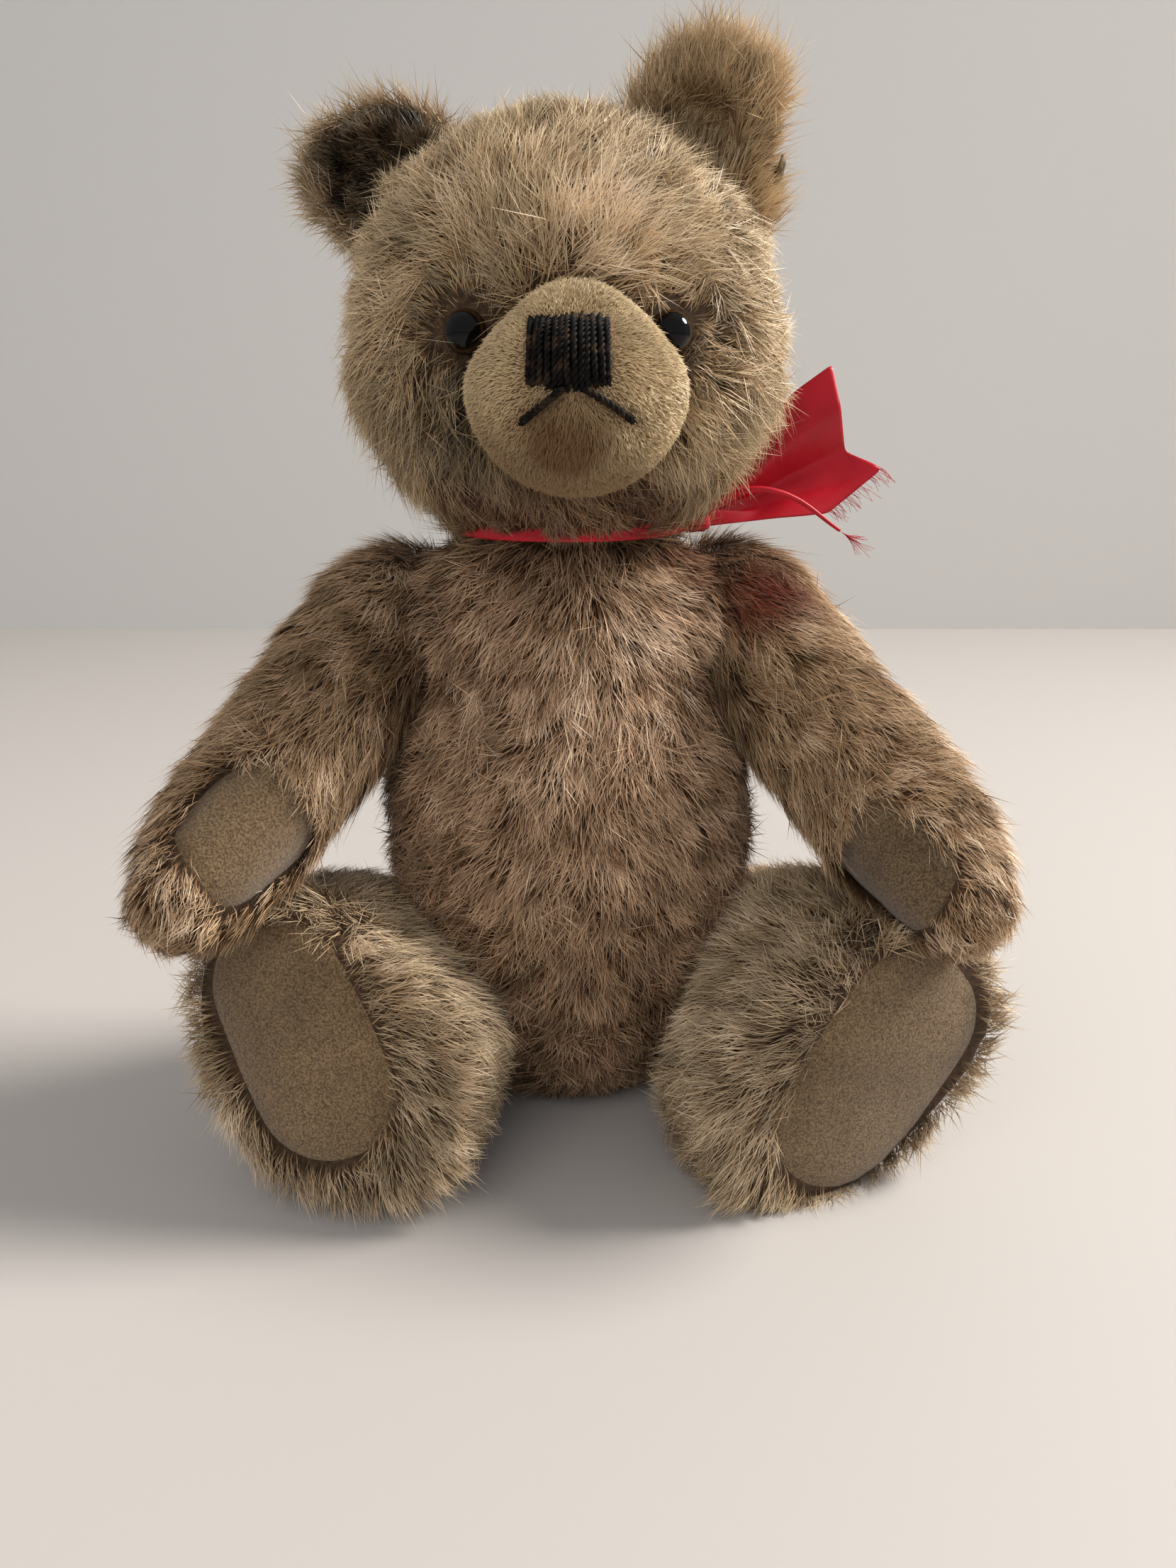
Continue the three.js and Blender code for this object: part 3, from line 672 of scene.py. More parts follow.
# %% [markdown]
# ## Materials
#
# Old mohair is no one colour: each fibre is dark at its root, and its tip has bleached. A picture of fur
# could be laid over a skin, but it would look flat wherever the skin turns away. So the fibres share one
# shader in a few colours: root, body and tip are mixed by the attribute that says how far along its fibre a
# point is, and the brightness changes from fibre to fibre, from lock to lock and in soft patches.

# %% Shader helpers
def new_material(name):
    material = bpy.data.materials.new(name)
    material.use_nodes = True
    shader = material.node_tree.nodes["Principled BSDF"]
    return material, material.node_tree, shader


def noise(tree, scale, detail):
    """Soft noise that stays on the piece."""
    place = add_node(tree, "ShaderNodeTexCoord").outputs["Object"]
    inputs = {"Vector": place, "Scale": scale, "Detail": detail}
    return add_node(tree, "ShaderNodeTexNoise", inputs).outputs["Fac"]


def painted(tree, name):
    """An attribute of the mesh."""
    return add_node(tree, "ShaderNodeAttribute", attribute_name=name).outputs["Fac"]


def bumped(tree, height, strength, distance):
    inputs = {"Strength": strength, "Distance": distance, "Height": height}
    return add_node(tree, "ShaderNodeBump", inputs).outputs[0]


def ramp(tree, factor, stops):
    """A colour ramp with (place, colour) stops."""
    made = add_node(tree, "ShaderNodeValToRGB", {"Fac": factor})
    elements = made.color_ramp.elements
    while len(elements) < len(stops):
        elements.new(0.5)
    for element, (place, colour) in zip(elements, stops):
        element.position = place
        element.color = (*colour, 1)
    return made.outputs["Color"]


def mixed(tree, factor, first, second, blend="MIX"):
    if isinstance(second, tuple):
        second = (*second, 1)
    inputs = {"Factor": factor, 6: first, 7: second}
    return add_node(tree, "ShaderNodeMix", inputs, data_type="RGBA", blend_type=blend).outputs[2]


def plain_material(name, dark, pale, scale, roughness, metallic=0.0, detail=5.0):
    """Two colours in soft patches."""
    material, tree, shader = new_material(name)
    colour = ramp(tree, noise(tree, scale, detail), [(0.35, dark), (0.65, pale)])
    set_inputs(tree, shader, {"Base Color": colour, "Roughness": roughness, "Metallic": metallic})
    return material


# The ribbon's red where it falls on the fur beside it: painted red shade and reflection of the ribbon.
RIBBON_RED_SHADE = (0.16, 0.012, 0.01)
# A darker brown for the muzzle's pile towards its bottom and under the mouth.
MUZZLE_LOW_BROWN = (0.135, 0.06, 0.02)
BLEACHED = (0.84, 0.72, 0.56)


def fibre_material(name, root, body, tip, sheen=0.13, spread=1.5, patchy=0.2, stain=RIBBON_RED_SHADE):
    """Mohair: spread is how much fibres differ in brightness, patchy how much places do."""
    material, tree, shader = new_material(name)

    def math_node(operation, first, second):
        return add_node(tree, "ShaderNodeMath", {0: first, 1: second}, operation=operation).outputs[0]

    def ranged(value, **limits):
        inputs = {"Value": value, **{label.replace("_", " "): limit for label, limit in limits.items()}}
        return add_node(tree, "ShaderNodeMapRange", inputs).outputs[0]

    along = painted(tree, "along")
    colour = ramp(tree, along, [(0.0, root), (0.42, body), (0.92, tip)])
    bright = math_node("ADD", math_node("MULTIPLY", painted(tree, "chance"), spread), painted(tree, "tone"))
    bright = math_node("SUBTRACT", bright, (spread - 0.85) / 2)
    patch = ranged(noise(tree, 95.0, 3.0), From_Min=0.3, From_Max=0.7, To_Min=0.97 - patchy,
                   To_Max=0.97 + patchy)
    bright = math_node("MULTIPLY", bright, patch)
    channels = {"Red": bright, "Green": bright, "Blue": bright}
    grey = add_node(tree, "ShaderNodeCombineColor", channels).outputs[0]
    colour = mixed(tree, 1.0, colour, grey, "MULTIPLY")
    faded = math_node("MULTIPLY", ranged(bright, From_Min=0.95, From_Max=1.6), along)
    colour = mixed(tree, faded, colour, BLEACHED)
    # A second colour goes over the fibres where the mesh asks for it: on most pieces the painted red shade
    # and reflection of the ribbon, on the muzzle a darker brown.
    set_inputs(tree, shader, {
        "Base Color": mixed(tree, painted(tree, "stain"), colour, stain),
        "Roughness": 0.42,
        "Specular IOR Level": 0.35,
        "Specular Tint": (1.0, 0.86, 0.68, 1),
        "Sheen Weight": math_node("MULTIPLY", bright, sheen),
        "Sheen Roughness": 0.4,
        "Sheen Tint": (1.0, 0.78, 0.55, 1),
    })
    return material


def backing_material(name, colour):
    """The woven ground between the fibres, darker in its weave."""
    return plain_material(name, tuple(0.45 * part for part in colour), colour, 900.0, 0.95, detail=4.0)


FIBRE_COLOURS = {
    "torso": ((0.014, 0.005, 0.002), (0.165, 0.074, 0.028), (0.79, 0.525, 0.32)),
    "head": ((0.045, 0.021, 0.008), (0.37, 0.227, 0.1), (0.84, 0.65, 0.4)),
    "arm": ((0.02, 0.008, 0.003), (0.235, 0.118, 0.046), (0.73, 0.51, 0.3)),
    "leg": ((0.045, 0.022, 0.009), (0.32, 0.205, 0.102), (0.78, 0.61, 0.4)),
    "ear": ((0.035, 0.016, 0.007), (0.34, 0.215, 0.105), (0.8, 0.64, 0.43)),
}
FIBRES = {name: fibre_material(f"{name}_fibre", *colours) for name, colours in FIBRE_COLOURS.items()}
muzzle_fibre = fibre_material("muzzle_fibre", (0.18, 0.1, 0.04), (0.5, 0.35, 0.17), (0.69, 0.535, 0.32),
                               spread=0.3, patchy=0.1, stain=MUZZLE_LOW_BROWN)
backing = backing_material("backing", (0.085, 0.048, 0.024))
muzzle_backing = backing_material("muzzle_backing", (0.3, 0.19, 0.1))
print("materials", [material.name for material in (*FIBRES.values(), muzzle_fibre, backing, muzzle_backing)])

# %% [markdown]
# ## Which way the pile lies
#
# The nap follows how the panels were cut. It runs down and outwards over the chest, outwards from the
# bridge of the nose over the whole head, down the arms, and away from the soles on the legs. Where two
# pieces are pressed together at a joint the pile is rubbed short, and it is short under the bear where it
# sits. It could be combed by hand with a brush, but here each piece has a rule that starts from its joints
# and pads, so the pile still lies well when a size changes.

# %% Where pile is pressed
def near(points, place, inner, outer):
    """1 within inner of a place, 0 beyond outer."""
    return 1 - smooth_step(np.linalg.norm(points - place, axis=1), inner, outer)


def pressed(points, joint, reach):
    """Where a cover bears on its neighbour at a joint."""
    middle, axis = joint_of(joint)
    off = np.abs((points - middle) @ axis)
    return near(points, middle, reach, reach + 7 * MM) * (1 - smooth_step(off, 1.5 * MM, 5 * MM))


PILE_LENGTH = 9.5 * MM
SHOULDER_REACH = 6 * MM
HIP_REACH = 12 * MM


def collar(points, joint):
    """The ring round a joint where longer pile closes the gap between the two covers."""
    middle = joint_of(joint)[0]
    return near(points, middle, 17 * MM, 27 * MM) * (1 - pressed(points, joint, SHOULDER_REACH))


def at(x, y, z):
    """A place given in millimetres."""
    return np.array([x, y, z]) * MM


LIMB_JOINTS = [name for name in JOINTS if name != "neck_turn"]
SHOULDERS = [name for name in LIMB_JOINTS if "shoulder" in name]
print("limb joints", LIMB_JOINTS)

# %% Torso pile
points = points_of(torso.data)
normals = normals_of(torso.data)
x, y, z = points.T
PARTING = 6 * MM
HALF_CHEST = 40 * MM
downwards = -0.8 - 0.4 * smooth_step(-z, -60 * MM, 0)
nap = np.stack([1.5 * (x - PARTING) / HALF_CHEST, 0.2 * y / HALF_CHEST, downwards], axis=1)
nap += np.outer(smooth_step(z, 112 * MM, 132 * MM) * x, (30, 0, 0))
nap += np.outer(smooth_step(z, 118 * MM, 134 * MM), (0, -0.5, 0.5))
under = smooth_step(-normals[:, 2], 0.75, 0.95)
rubbed = np.clip(under + sum(pressed(points, name, SHOULDER_REACH) for name in LIMB_JOINTS), 0, 1)
ring = np.clip(sum(collar(points, name) for name in SHOULDERS), 0, 1)
ring = np.maximum(ring, smooth_step(z, 124 * MM, 134 * MM))
pale = near(points, at(16, -34, 112), 8 * MM, 34 * MM)
# Darker towards the bottom: partly the fur's own colour, partly painted shade.
low = 1 - smooth_step(z, 20 * MM, 75 * MM)
# A red tinge on the shoulder below the knot: painted red shade and reflection of the ribbon.
ribbon_shade = near(points, at(27, -6, 136), 4 * MM, 17 * MM)
shoulder_shade = smooth_step(z, 118 * MM, 132 * MM)
# Darker where the sides face the arms: painted shade in the creases.
crease_shade = smooth_step(np.abs(normals[:, 0]), 0.75, 0.97)
# Darker over the bear's right side, which is turned away from the key lamp: painted shade.
shaded_side = smooth_step(-x, 2 * MM, 28 * MM)
tone = 0.42 + 0.26 * pale - 0.2 * low - 0.06 * shoulder_shade - 0.3 * crease_shade - 0.1 * shaded_side
set_pile(torso, nap, pile=PILE_LENGTH * (1 - 0.65 * rubbed + 0.15 * ring),
         lift=0.42 - 0.25 * rubbed + 0.2 * ring, cover=1 - 0.55 * rubbed, tone=tone, stain=0.45 * ribbon_shade)
torso_pile = grow_pile("torso_pile", torso, FIBRES["torso"], 3.2e6, seed=11, width=0.25 * MM, lock=6 * MM,
                       pull=0.5, disorder=0.4, shift=0.6)

# %% Head pile
muzzle_low, muzzle_high = box_of("muzzle_cover")
muzzle_middle = middle_of("muzzle_cover")
bridge = np.array([muzzle_middle[0] - 1 * MM, muzzle_high[1], muzzle_high[2] - 1 * MM])
eye_middles = {side: middle_of(f"eye_{side}") for side in SIDES}

points = points_of(head.data)
normals = normals_of(head.data)
x, y, z = points.T
nap = unit(points - bridge) + (0.25, 0.35, 0)
nap[:, 2] -= 0.5 * (1 - smooth_step(z, 165 * MM, 195 * MM))
nap += np.outer(near(points, bridge, 5 * MM, 22 * MM), (0.5, 0, 1.4))
for middle in eye_middles.values():
    nap += 2.0 * near(points, middle, 6 * MM, 14 * MM)[:, None] * unit(points - middle)
from_muzzle = np.linalg.norm((points - muzzle_middle) / (1, 1.4, 0.92), axis=1)
around_muzzle = (1 - smooth_step(from_muzzle, 17 * MM, 19 * MM)) * smooth_step(-y, 20 * MM, 27 * MM)
at_eyes = sum(near(points, middle + at(0, -2, 1), 4.2 * MM, 5.4 * MM) for middle in eye_middles.values())
round_eyes = sum(near(points, middle, 6 * MM, 13 * MM) for middle in eye_middles.values())
# Under the chin the pile is shorter, sparser and coloured darker and redder: painted shade under the muzzle
# and painted red shade of the ribbon.
chin = (1 - smooth_step(z, 151 * MM, 163 * MM)) * smooth_step(-y, 8 * MM, 20 * MM)
chin *= 1 - smooth_step(np.abs(x), 19 * MM, 32 * MM)
brow = near(points, at(2, -36, 194), 6 * MM, 28 * MM)
tuft = near(points, bridge + at(4, -8, 8), 3 * MM, 13 * MM)
shade = near(points, bridge + at(-18, -3, -10), 4 * MM, 17 * MM)
shade += 0.55 * near(points, bridge + at(18, -3, -10), 3 * MM, 14 * MM)
shade += 0.7 * near(points, muzzle_middle + at(-22, 10, -6), 3 * MM, 14 * MM)
shade = np.clip(shade, 0, 1)
cheek = 1 - smooth_step(z, 160 * MM, 185 * MM)
ear_base = sum(near(points, middle_of(f"ear_{side}"), 12 * MM, 24 * MM) for side in SIDES)
length = (10.5 * MM + 4 * MM * cheek + 1.5 * MM * tuft) * (1 - 0.5 * chin)
length *= (1 - 0.6 * np.clip(round_eyes, 0, 1)) * (1 + 0.3 * ear_base)
set_pile(head, nap, pile=length, lift=0.44 + 0.25 * tuft - 0.2 * chin + 0.15 * ear_base,
         cover=np.clip(1 - around_muzzle - at_eyes - 0.35 * chin, 0, 1),
         tone=0.42 + 0.14 * brow + 0.55 * tuft - 0.46 * shade - 0.08 * cheek - 0.4 * chin,
         stain=0.22 * chin)
head_pile = grow_pile("head_pile", head, FIBRES["head"], 4.1e6, seed=23, pull=0.8, disorder=0.45, shift=0.75)

# %% [markdown]
# ## The muzzle
#
# The muzzle is a cap of another stuff, a short dense pile clipped like a brush. It is wrapped and smoothed
# like the other skins, and made narrower towards the bridge, where the seams draw it in. Its pile is left
# out under the nose and the mouth and lies flatter beside them, because the thread presses it down there.

# %% Muzzle skin and what is sewn on it
muzzle = skin("muzzle", "muzzle_cover", voxel=1.3 * MM, rounds=6, grow=1.8 * MM)
points = points_of(muzzle.data)
narrower = smooth_step(points[:, 2], muzzle_middle[2] - 2 * MM, muzzle_high[2])
points[:, 0] -= (0.06 + 0.22 * narrower) * (points[:, 0] - muzzle_middle[0])
points[:, 2] -= 1.5 * MM * smooth_step(points[:, 2], muzzle_middle[2], muzzle_high[2])
move_points(muzzle.data, points)
muzzle_surface = surface_of(muzzle)


def on_muzzle(x, z, out=0.0):
    """The point of the muzzle's front at x and z, and out in front of it."""
    hit = muzzle_surface.ray_cast(Vector((x, -0.1, z)), Vector((0, 1, 0)))
    return np.array(hit[0]) - (0, out, 0)


nose_low, nose_high = box_of("nose_stitching")
nose_middle = middle_of("nose_stitching")
nose_width = nose_high[0] - nose_low[0]
WAYS = {"right": -1, "left": 1}
mouth_ends = {}
for side, way in WAYS.items():
    ends = points_of(NODES[f"mouth_stitch_{side}"].data)
    outer = ends[np.argmax(way * ends[:, 0])] - (0, 0, 0.8 * MM)
    inner = np.array([nose_middle[0] + (1.0 + 0.7 * way) * MM, outer[1], nose_low[2] + 0.4 * MM])
    mouth_ends[side] = (inner, outer)
print("nose", round(nose_width / MM, 1), "mm wide")


def beside(points, start, stop):
    """How far points lie from a straight line, looking from the front."""
    start, stop, points = start[[0, 2]], stop[[0, 2]], points[:, [0, 2]]
    share = np.clip((points - start) @ (stop - start) / ((stop - start) @ (stop - start)), 0, 1)
    return np.linalg.norm(points - start - np.outer(share, stop - start), axis=1)


# %% Muzzle pile
points = points_of(muzzle.data)
x, y, z = points.T
front = smooth_step(-y, 30 * MM, 45 * MM)
off_nose = np.maximum(np.abs(x - nose_middle[0]) - nose_width / 2,
                      np.abs(z - nose_middle[2]) - (nose_high[2] - nose_low[2]) / 2)


def by_thread(at_nose, at_mouth):
    """1 under the nose and the mouth, fading out beside them between two distances for each."""
    share = 1 - smooth_step(off_nose, *at_nose)
    for start, stop in mouth_ends.values():
        share = np.maximum(share, 1 - smooth_step(beside(points, start, stop), *at_mouth))
    return share * front


bare = by_thread((-0.4 * MM, 0.5 * MM), (0.5 * MM, 1.2 * MM))
flattened = by_thread((0, 2.5 * MM), (0.8 * MM, 3 * MM))
hidden = smooth_step(y, muzzle_high[1] - 9 * MM, muzzle_high[1] - 4 * MM)
# Towards the bottom and under the mouth the muzzle's pile is darker and browner.
chin_tip = np.array([muzzle_middle[0] - 1.5 * MM, muzzle_low[1], muzzle_low[2] + 9 * MM])
under_mouth = near(points, chin_tip, 3 * MM, 12 * MM)
lowest = 1 - smooth_step(z + 0.25 * (x - muzzle_middle[0]), muzzle_low[2] - 1 * MM, muzzle_low[2] + 15 * MM)
top = smooth_step(z, muzzle_high[2] - 9 * MM, muzzle_high[2])
set_pile(muzzle, unit(points - muzzle_middle) * (1, 0.3, 1) + (0, 0.5, -0.3),
         pile=(2.5 * MM + 0.9 * MM * under_mouth) * (1 - 0.5 * flattened), lift=0.88 - 0.2 * under_mouth,
         cover=np.clip(1 - hidden - bare, 0, 1), tone=0.52 - 0.1 * top - 0.1 * under_mouth - 0.12 * lowest,
         stain=np.clip(0.75 * under_mouth + 0.6 * lowest, 0, 0.88))
muzzle_pile = grow_pile("muzzle_pile", muzzle, muzzle_fibre, 1.2e7, seed=31, width=0.24 * MM, lock=2.4 * MM,
                        pull=0.1, disorder=0.25, shift=0.06)

# %% [markdown]
# ## Pile on the limbs
#
# The pile runs down an arm to its hand and back from a sole towards the hip. It is left out where felt is
# sewn in, and stands up in a ring round each pad, because the seam pushes it up. The pads' outlines come
# first, since both the pile and the felt need them: the distance from a pad's middle to its edge in each
# direction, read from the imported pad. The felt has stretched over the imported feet, so the soles are a
# little larger than that.

# %% Outline of a pad
SPOKES = 96
PAD_DEPTH = -14 * MM
FAR_OUT = 1.0


class PadOutline:
    """The plane of a packed pad, and how far it reaches from its middle in each direction."""

    def __init__(self, node, outside, stretch, shift):
        points = points_of(NODES[node].data)
        self.middle = middle_of(node)
        spread = np.linalg.svd(points - points.mean(axis=0), full_matrices=False)[2]
        self.out = spread[2] if spread[2] @ outside > 0 else -spread[2]
        self.u = unit(np.cross((0, 0, 1), self.out))
        self.v = np.cross(self.out, self.u)
        flat = self.flatten(points)
        angles = np.arange(SPOKES) / SPOKES * 2 * math.pi
        aims = np.stack([np.cos(angles), np.sin(angles)], axis=1)
        support = (flat @ aims.T).max(axis=0)
        reach = np.array([np.min(support / np.maximum(aims @ aim, 1e-6)) for aim in aims])
        for _ in range(3):
            reach = (np.roll(reach, 1) + 2 * reach + np.roll(reach, -1)) / 4
        self.reach = reach * stretch
        self.middle = self.middle + shift[0] * self.u + shift[1] * self.v

    def flatten(self, points):
        return (points - self.middle) @ np.stack([self.u, self.v], axis=1)

    def edge(self, angles):
        return np.interp(angles % (2 * math.pi), np.arange(SPOKES + 1) / SPOKES * 2 * math.pi,
                         np.append(self.reach, self.reach[0]))

    def beyond(self, points, normals):
        """How far outside the outline points lie, less than 0 inside. Skin that faces away is outside."""
        flat = self.flatten(points)
        distance = np.hypot(*flat.T) - self.edge(np.arctan2(flat[:, 1], flat[:, 0]))
        distance = np.where(normals @ self.out < 0.25, np.maximum(distance, 0.4 * MM), distance)
        return np.where(self.height(points) < PAD_DEPTH, FAR_OUT, distance)

    def height(self, points):
        """How far points stand out from the pad's plane."""
        return (points - self.middle) @ self.out


# How much each pad has stretched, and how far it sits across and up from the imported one, in millimetres.
FITS = {"paw_pad_right": (1.05, 2, -1), "paw_pad_left": (0.98, -1.5, -4),
        "foot_pad_right": (1.14, 2.2, 1.5), "foot_pad_left": (1.22, 3.2, -1)}
FORWARD = (0, -1, 0)
PADS = {}
for name, (stretch, across, up) in FITS.items():
    PADS[name] = PadOutline(name, FORWARD, stretch, (across * MM, up * MM))
    print(name, "faces", PADS[name].out.round(2))

# %% Arm and leg piles
def round_pad(over, side, kind):
    """How much pile there is round a pad, the ring where fibres stand up, and the way the pad faces."""
    outline = PADS[f"{kind}_pad_{side}"]
    points = points_of(over.data)
    beyond = outline.beyond(points, normals_of(over.data))
    level = smooth_step(outline.height(points), PAD_DEPTH, -9 * MM)
    rim = (1 - smooth_step(beyond, 0.5 * MM, 7 * MM)) * level
    return smooth_step(beyond, -1.6 * MM, -0.2 * MM), rim, outline.out


def arm_pile(side, seed, bright):
    over = arms[side]
    middle, down, end = limb_lines(f"shoulder_{side}", f"paw_pad_{side}")
    points = points_of(over.data)
    along, radial = along_limb(points, middle, down)
    cover, rim, out = round_pad(over, side, "paw")
    nap = down + 0.5 * unit(points - end) + 0.25 * unit(radial) + (0, 0, -0.25) + 0.7 * rim[:, None] * out
    rubbed = pressed(points, f"shoulder_{side}", SHOULDER_REACH)
    ring = collar(points, f"shoulder_{side}")
    far = smooth_step(along, 20 * MM, 75 * MM)
    tip = smooth_step(along - (end - middle) @ down, 4 * MM, 14 * MM)
    # Darker on the inner side, against the torso: painted shade in the crease.
    crease_shade = 1 - smooth_step(np.abs(points[:, 0]), 33 * MM, 41 * MM)
    # The pile is lighter over the top of the arm: painted light.
    top = smooth_step(points[:, 2], 112 * MM, 126 * MM)
    # A red tinge on the top of the arm below the knot: painted red shade and reflection of the ribbon.
    ribbon_shade = near(points, at(42, -13, 130), 4 * MM, 17 * MM)
    set_pile(over, nap, pile=PILE_LENGTH * (1 - 0.6 * rubbed + 0.15 * ring) * (1 - 0.35 * tip),
             lift=0.42 - 0.2 * rubbed + 0.1 * far + 0.2 * ring + 0.2 * rim, cover=cover * (1 - 0.6 * rubbed),
             tone=bright + 0.16 * far + 0.18 * top - 0.28 * crease_shade, stain=0.88 * ribbon_shade)
    return grow_pile(f"arm_{side}_pile", over, FIBRES["arm"], 3.9e6, seed=seed, disorder=0.35)


def leg_pile(side, seed):
    over = legs[side]
    down, end = limb_lines(f"hip_{side}", f"foot_pad_{side}")[1:]
    points = points_of(over.data)
    cover, rim, out = round_pad(over, side, "foot")
    nap = 0.9 * unit(points - end) - 0.35 * down + (0, 0, -0.35) + 0.9 * rim[:, None] * out
    rubbed = pressed(points, f"hip_{side}", HIP_REACH)
    set_pile(over, nap, pile=PILE_LENGTH * (1 - 0.6 * rubbed), lift=0.46 - 0.25 * rubbed + 0.25 * rim,
             cover=cover * (1 - 0.6 * rubbed), tone=0.43)
    return grow_pile(f"leg_{side}_pile", over, FIBRES["leg"], 3.35e6, seed=seed, disorder=0.35)


arm_piles = {"right": arm_pile("right", 41, 0.34), "left": arm_pile("left", 43, 0.4)}
leg_piles = {"right": leg_pile("right", 51), "left": leg_pile("left", 53)}

# %% [markdown]
# ## Felt pads
#
# A pad is a flat piece of wool felt sewn into a window of the mohair. It bulges between its seams, and its
# rim dips into the seam. It could be cut out of the skin and thickened, but the skin's faces would show at
# the rim, so rings of points between the pad's middle and its outline are laid on the skin by casting rays
# at it.

# %% Felt pads
RINGS = 16
SEAM_DEPTH = 1.6 * MM
FELT = 1.0 * MM
SUNK = 0.35 * MM
ABOVE = 20 * MM


def felt_pad(name, over, outline, bulge, tone):
    """Felt laid on the skin inside an outline, with a rounded rim that dips into the seam."""
    tree = surface_of(over)
    points = []
    for ring in range(RINGS + 1):
        share = ring / RINGS
        height = 1 - share ** 6
        for spoke in range(SPOKES if ring else 1):
            angle = spoke / SPOKES * 2 * math.pi
            reach = outline.reach[spoke] * share
            flat = outline.middle + reach * (math.cos(angle) * outline.u + math.sin(angle) * outline.v)
            hit = tree.ray_cast(Vector(flat + ABOVE * outline.out), Vector(-outline.out))
            base = np.array(hit[0] if hit[0] is not None else tree.find_nearest(Vector(flat))[0])
            points.append(base + outline.out * (bulge * (1 - share ** 2) + FELT * height - SUNK))
    rim = np.array(points[-SPOKES:])
    sunk = [point - SEAM_DEPTH * outline.out for point in rim]
    points += sunk
    points.append(np.mean(sunk, axis=0))
    faces = [(0, 1 + i, 1 + (i + 1) % SPOKES) for i in range(SPOKES)]
    for ring in range(RINGS):
        inner = 1 + ring * SPOKES
        outer = inner + SPOKES
        for i in range(SPOKES):
            j = (i + 1) % SPOKES
            faces.append((inner + i, outer + i, outer + j, inner + j))
    last = len(points) - 1
    start = last - SPOKES
    faces += [(start + i, last, start + (i + 1) % SPOKES) for i in range(SPOKES)]
    mesh = mesh_from(name, points, faces)
    write(mesh, "tone", [tone] * len(points))
    return put(name, mesh), rim + 0.15 * MM * outline.out


def felt_material():
    material, tree, shader = new_material("felt")
    grain = noise(tree, 2200.0, 5.0)
    fibres = noise(tree, 6000.0, 2.0)
    colour = ramp(tree, grain, [(0.36, (0.085, 0.05, 0.02)), (0.5, (0.185, 0.12, 0.056)),
                                (0.62, (0.28, 0.19, 0.1))])
    worn = ramp(tree, noise(tree, 60.0, 3.0), [(0.35, (0.82, 0.78, 0.73)), (0.65, (1.1, 1.08, 1.05))])
    tone = ramp(tree, painted(tree, "tone"), [(0.0, (0, 0, 0)), (1.0, (1, 1, 1))])
    colour = mixed(tree, 1.0, mixed(tree, 1.0, colour, worn, "MULTIPLY"), tone, "MULTIPLY")
    both = add_node(tree, "ShaderNodeMath", {0: grain, 1: fibres}, operation="ADD").outputs[0]
    set_inputs(tree, shader, {
        "Base Color": colour,
        "Normal": bumped(tree, both, 0.6, 0.0003),
        "Roughness": 0.95,
        "Sheen Weight": 0.3,
    })
    return material


felt = felt_material()
pads = {}
seams = {}
for name, outline in PADS.items():
    side = name.split("_")[-1]
    over = arms[side] if name.startswith("paw") else legs[side]
    bulge = 0.8 * MM if name.startswith("paw") else 1.2 * MM
    # The felt of the bear's left paw pad is darker: painted shade.
    tone = 0.68 if name == "paw_pad_left" else 0.95
    pads[name], seams[name] = felt_pad(f"{name}_felt", over, outline, bulge, tone)
    pads[name].data.materials.append(felt)
    print(name, triangles_of(pads[name]), "triangles")

# %% [markdown]
# ## Ears
#
# An ear is a folded flap, cupped to the front, with the longest pile of the bear along its rim and short,
# matted pile in the cup, coloured darker there, partly its own colour and partly painted shade. Its skin is
# the imported flap itself, remeshed and smoothed, because a wrap would fill the cup. The bear's right ear has
# flopped and shows its cup with that painted shade. Its left one stands up and is lighter all over, partly
# painted light on its front, and the stud hangs in it.

# %% Ears
def copied(node):
    """A merged copy of a CAD node's mesh."""
    work = bmesh.new()
    work.from_mesh(NODES[node].data)
    bmesh.ops.remove_doubles(work, verts=work.verts, dist=1e-6)
    mesh = bpy.data.meshes.new(node)
    work.to_mesh(mesh)
    work.free()
    return mesh


HEAD_MIDDLE = middle_of("head_cover")
STUD = middle_of("ear_stud")


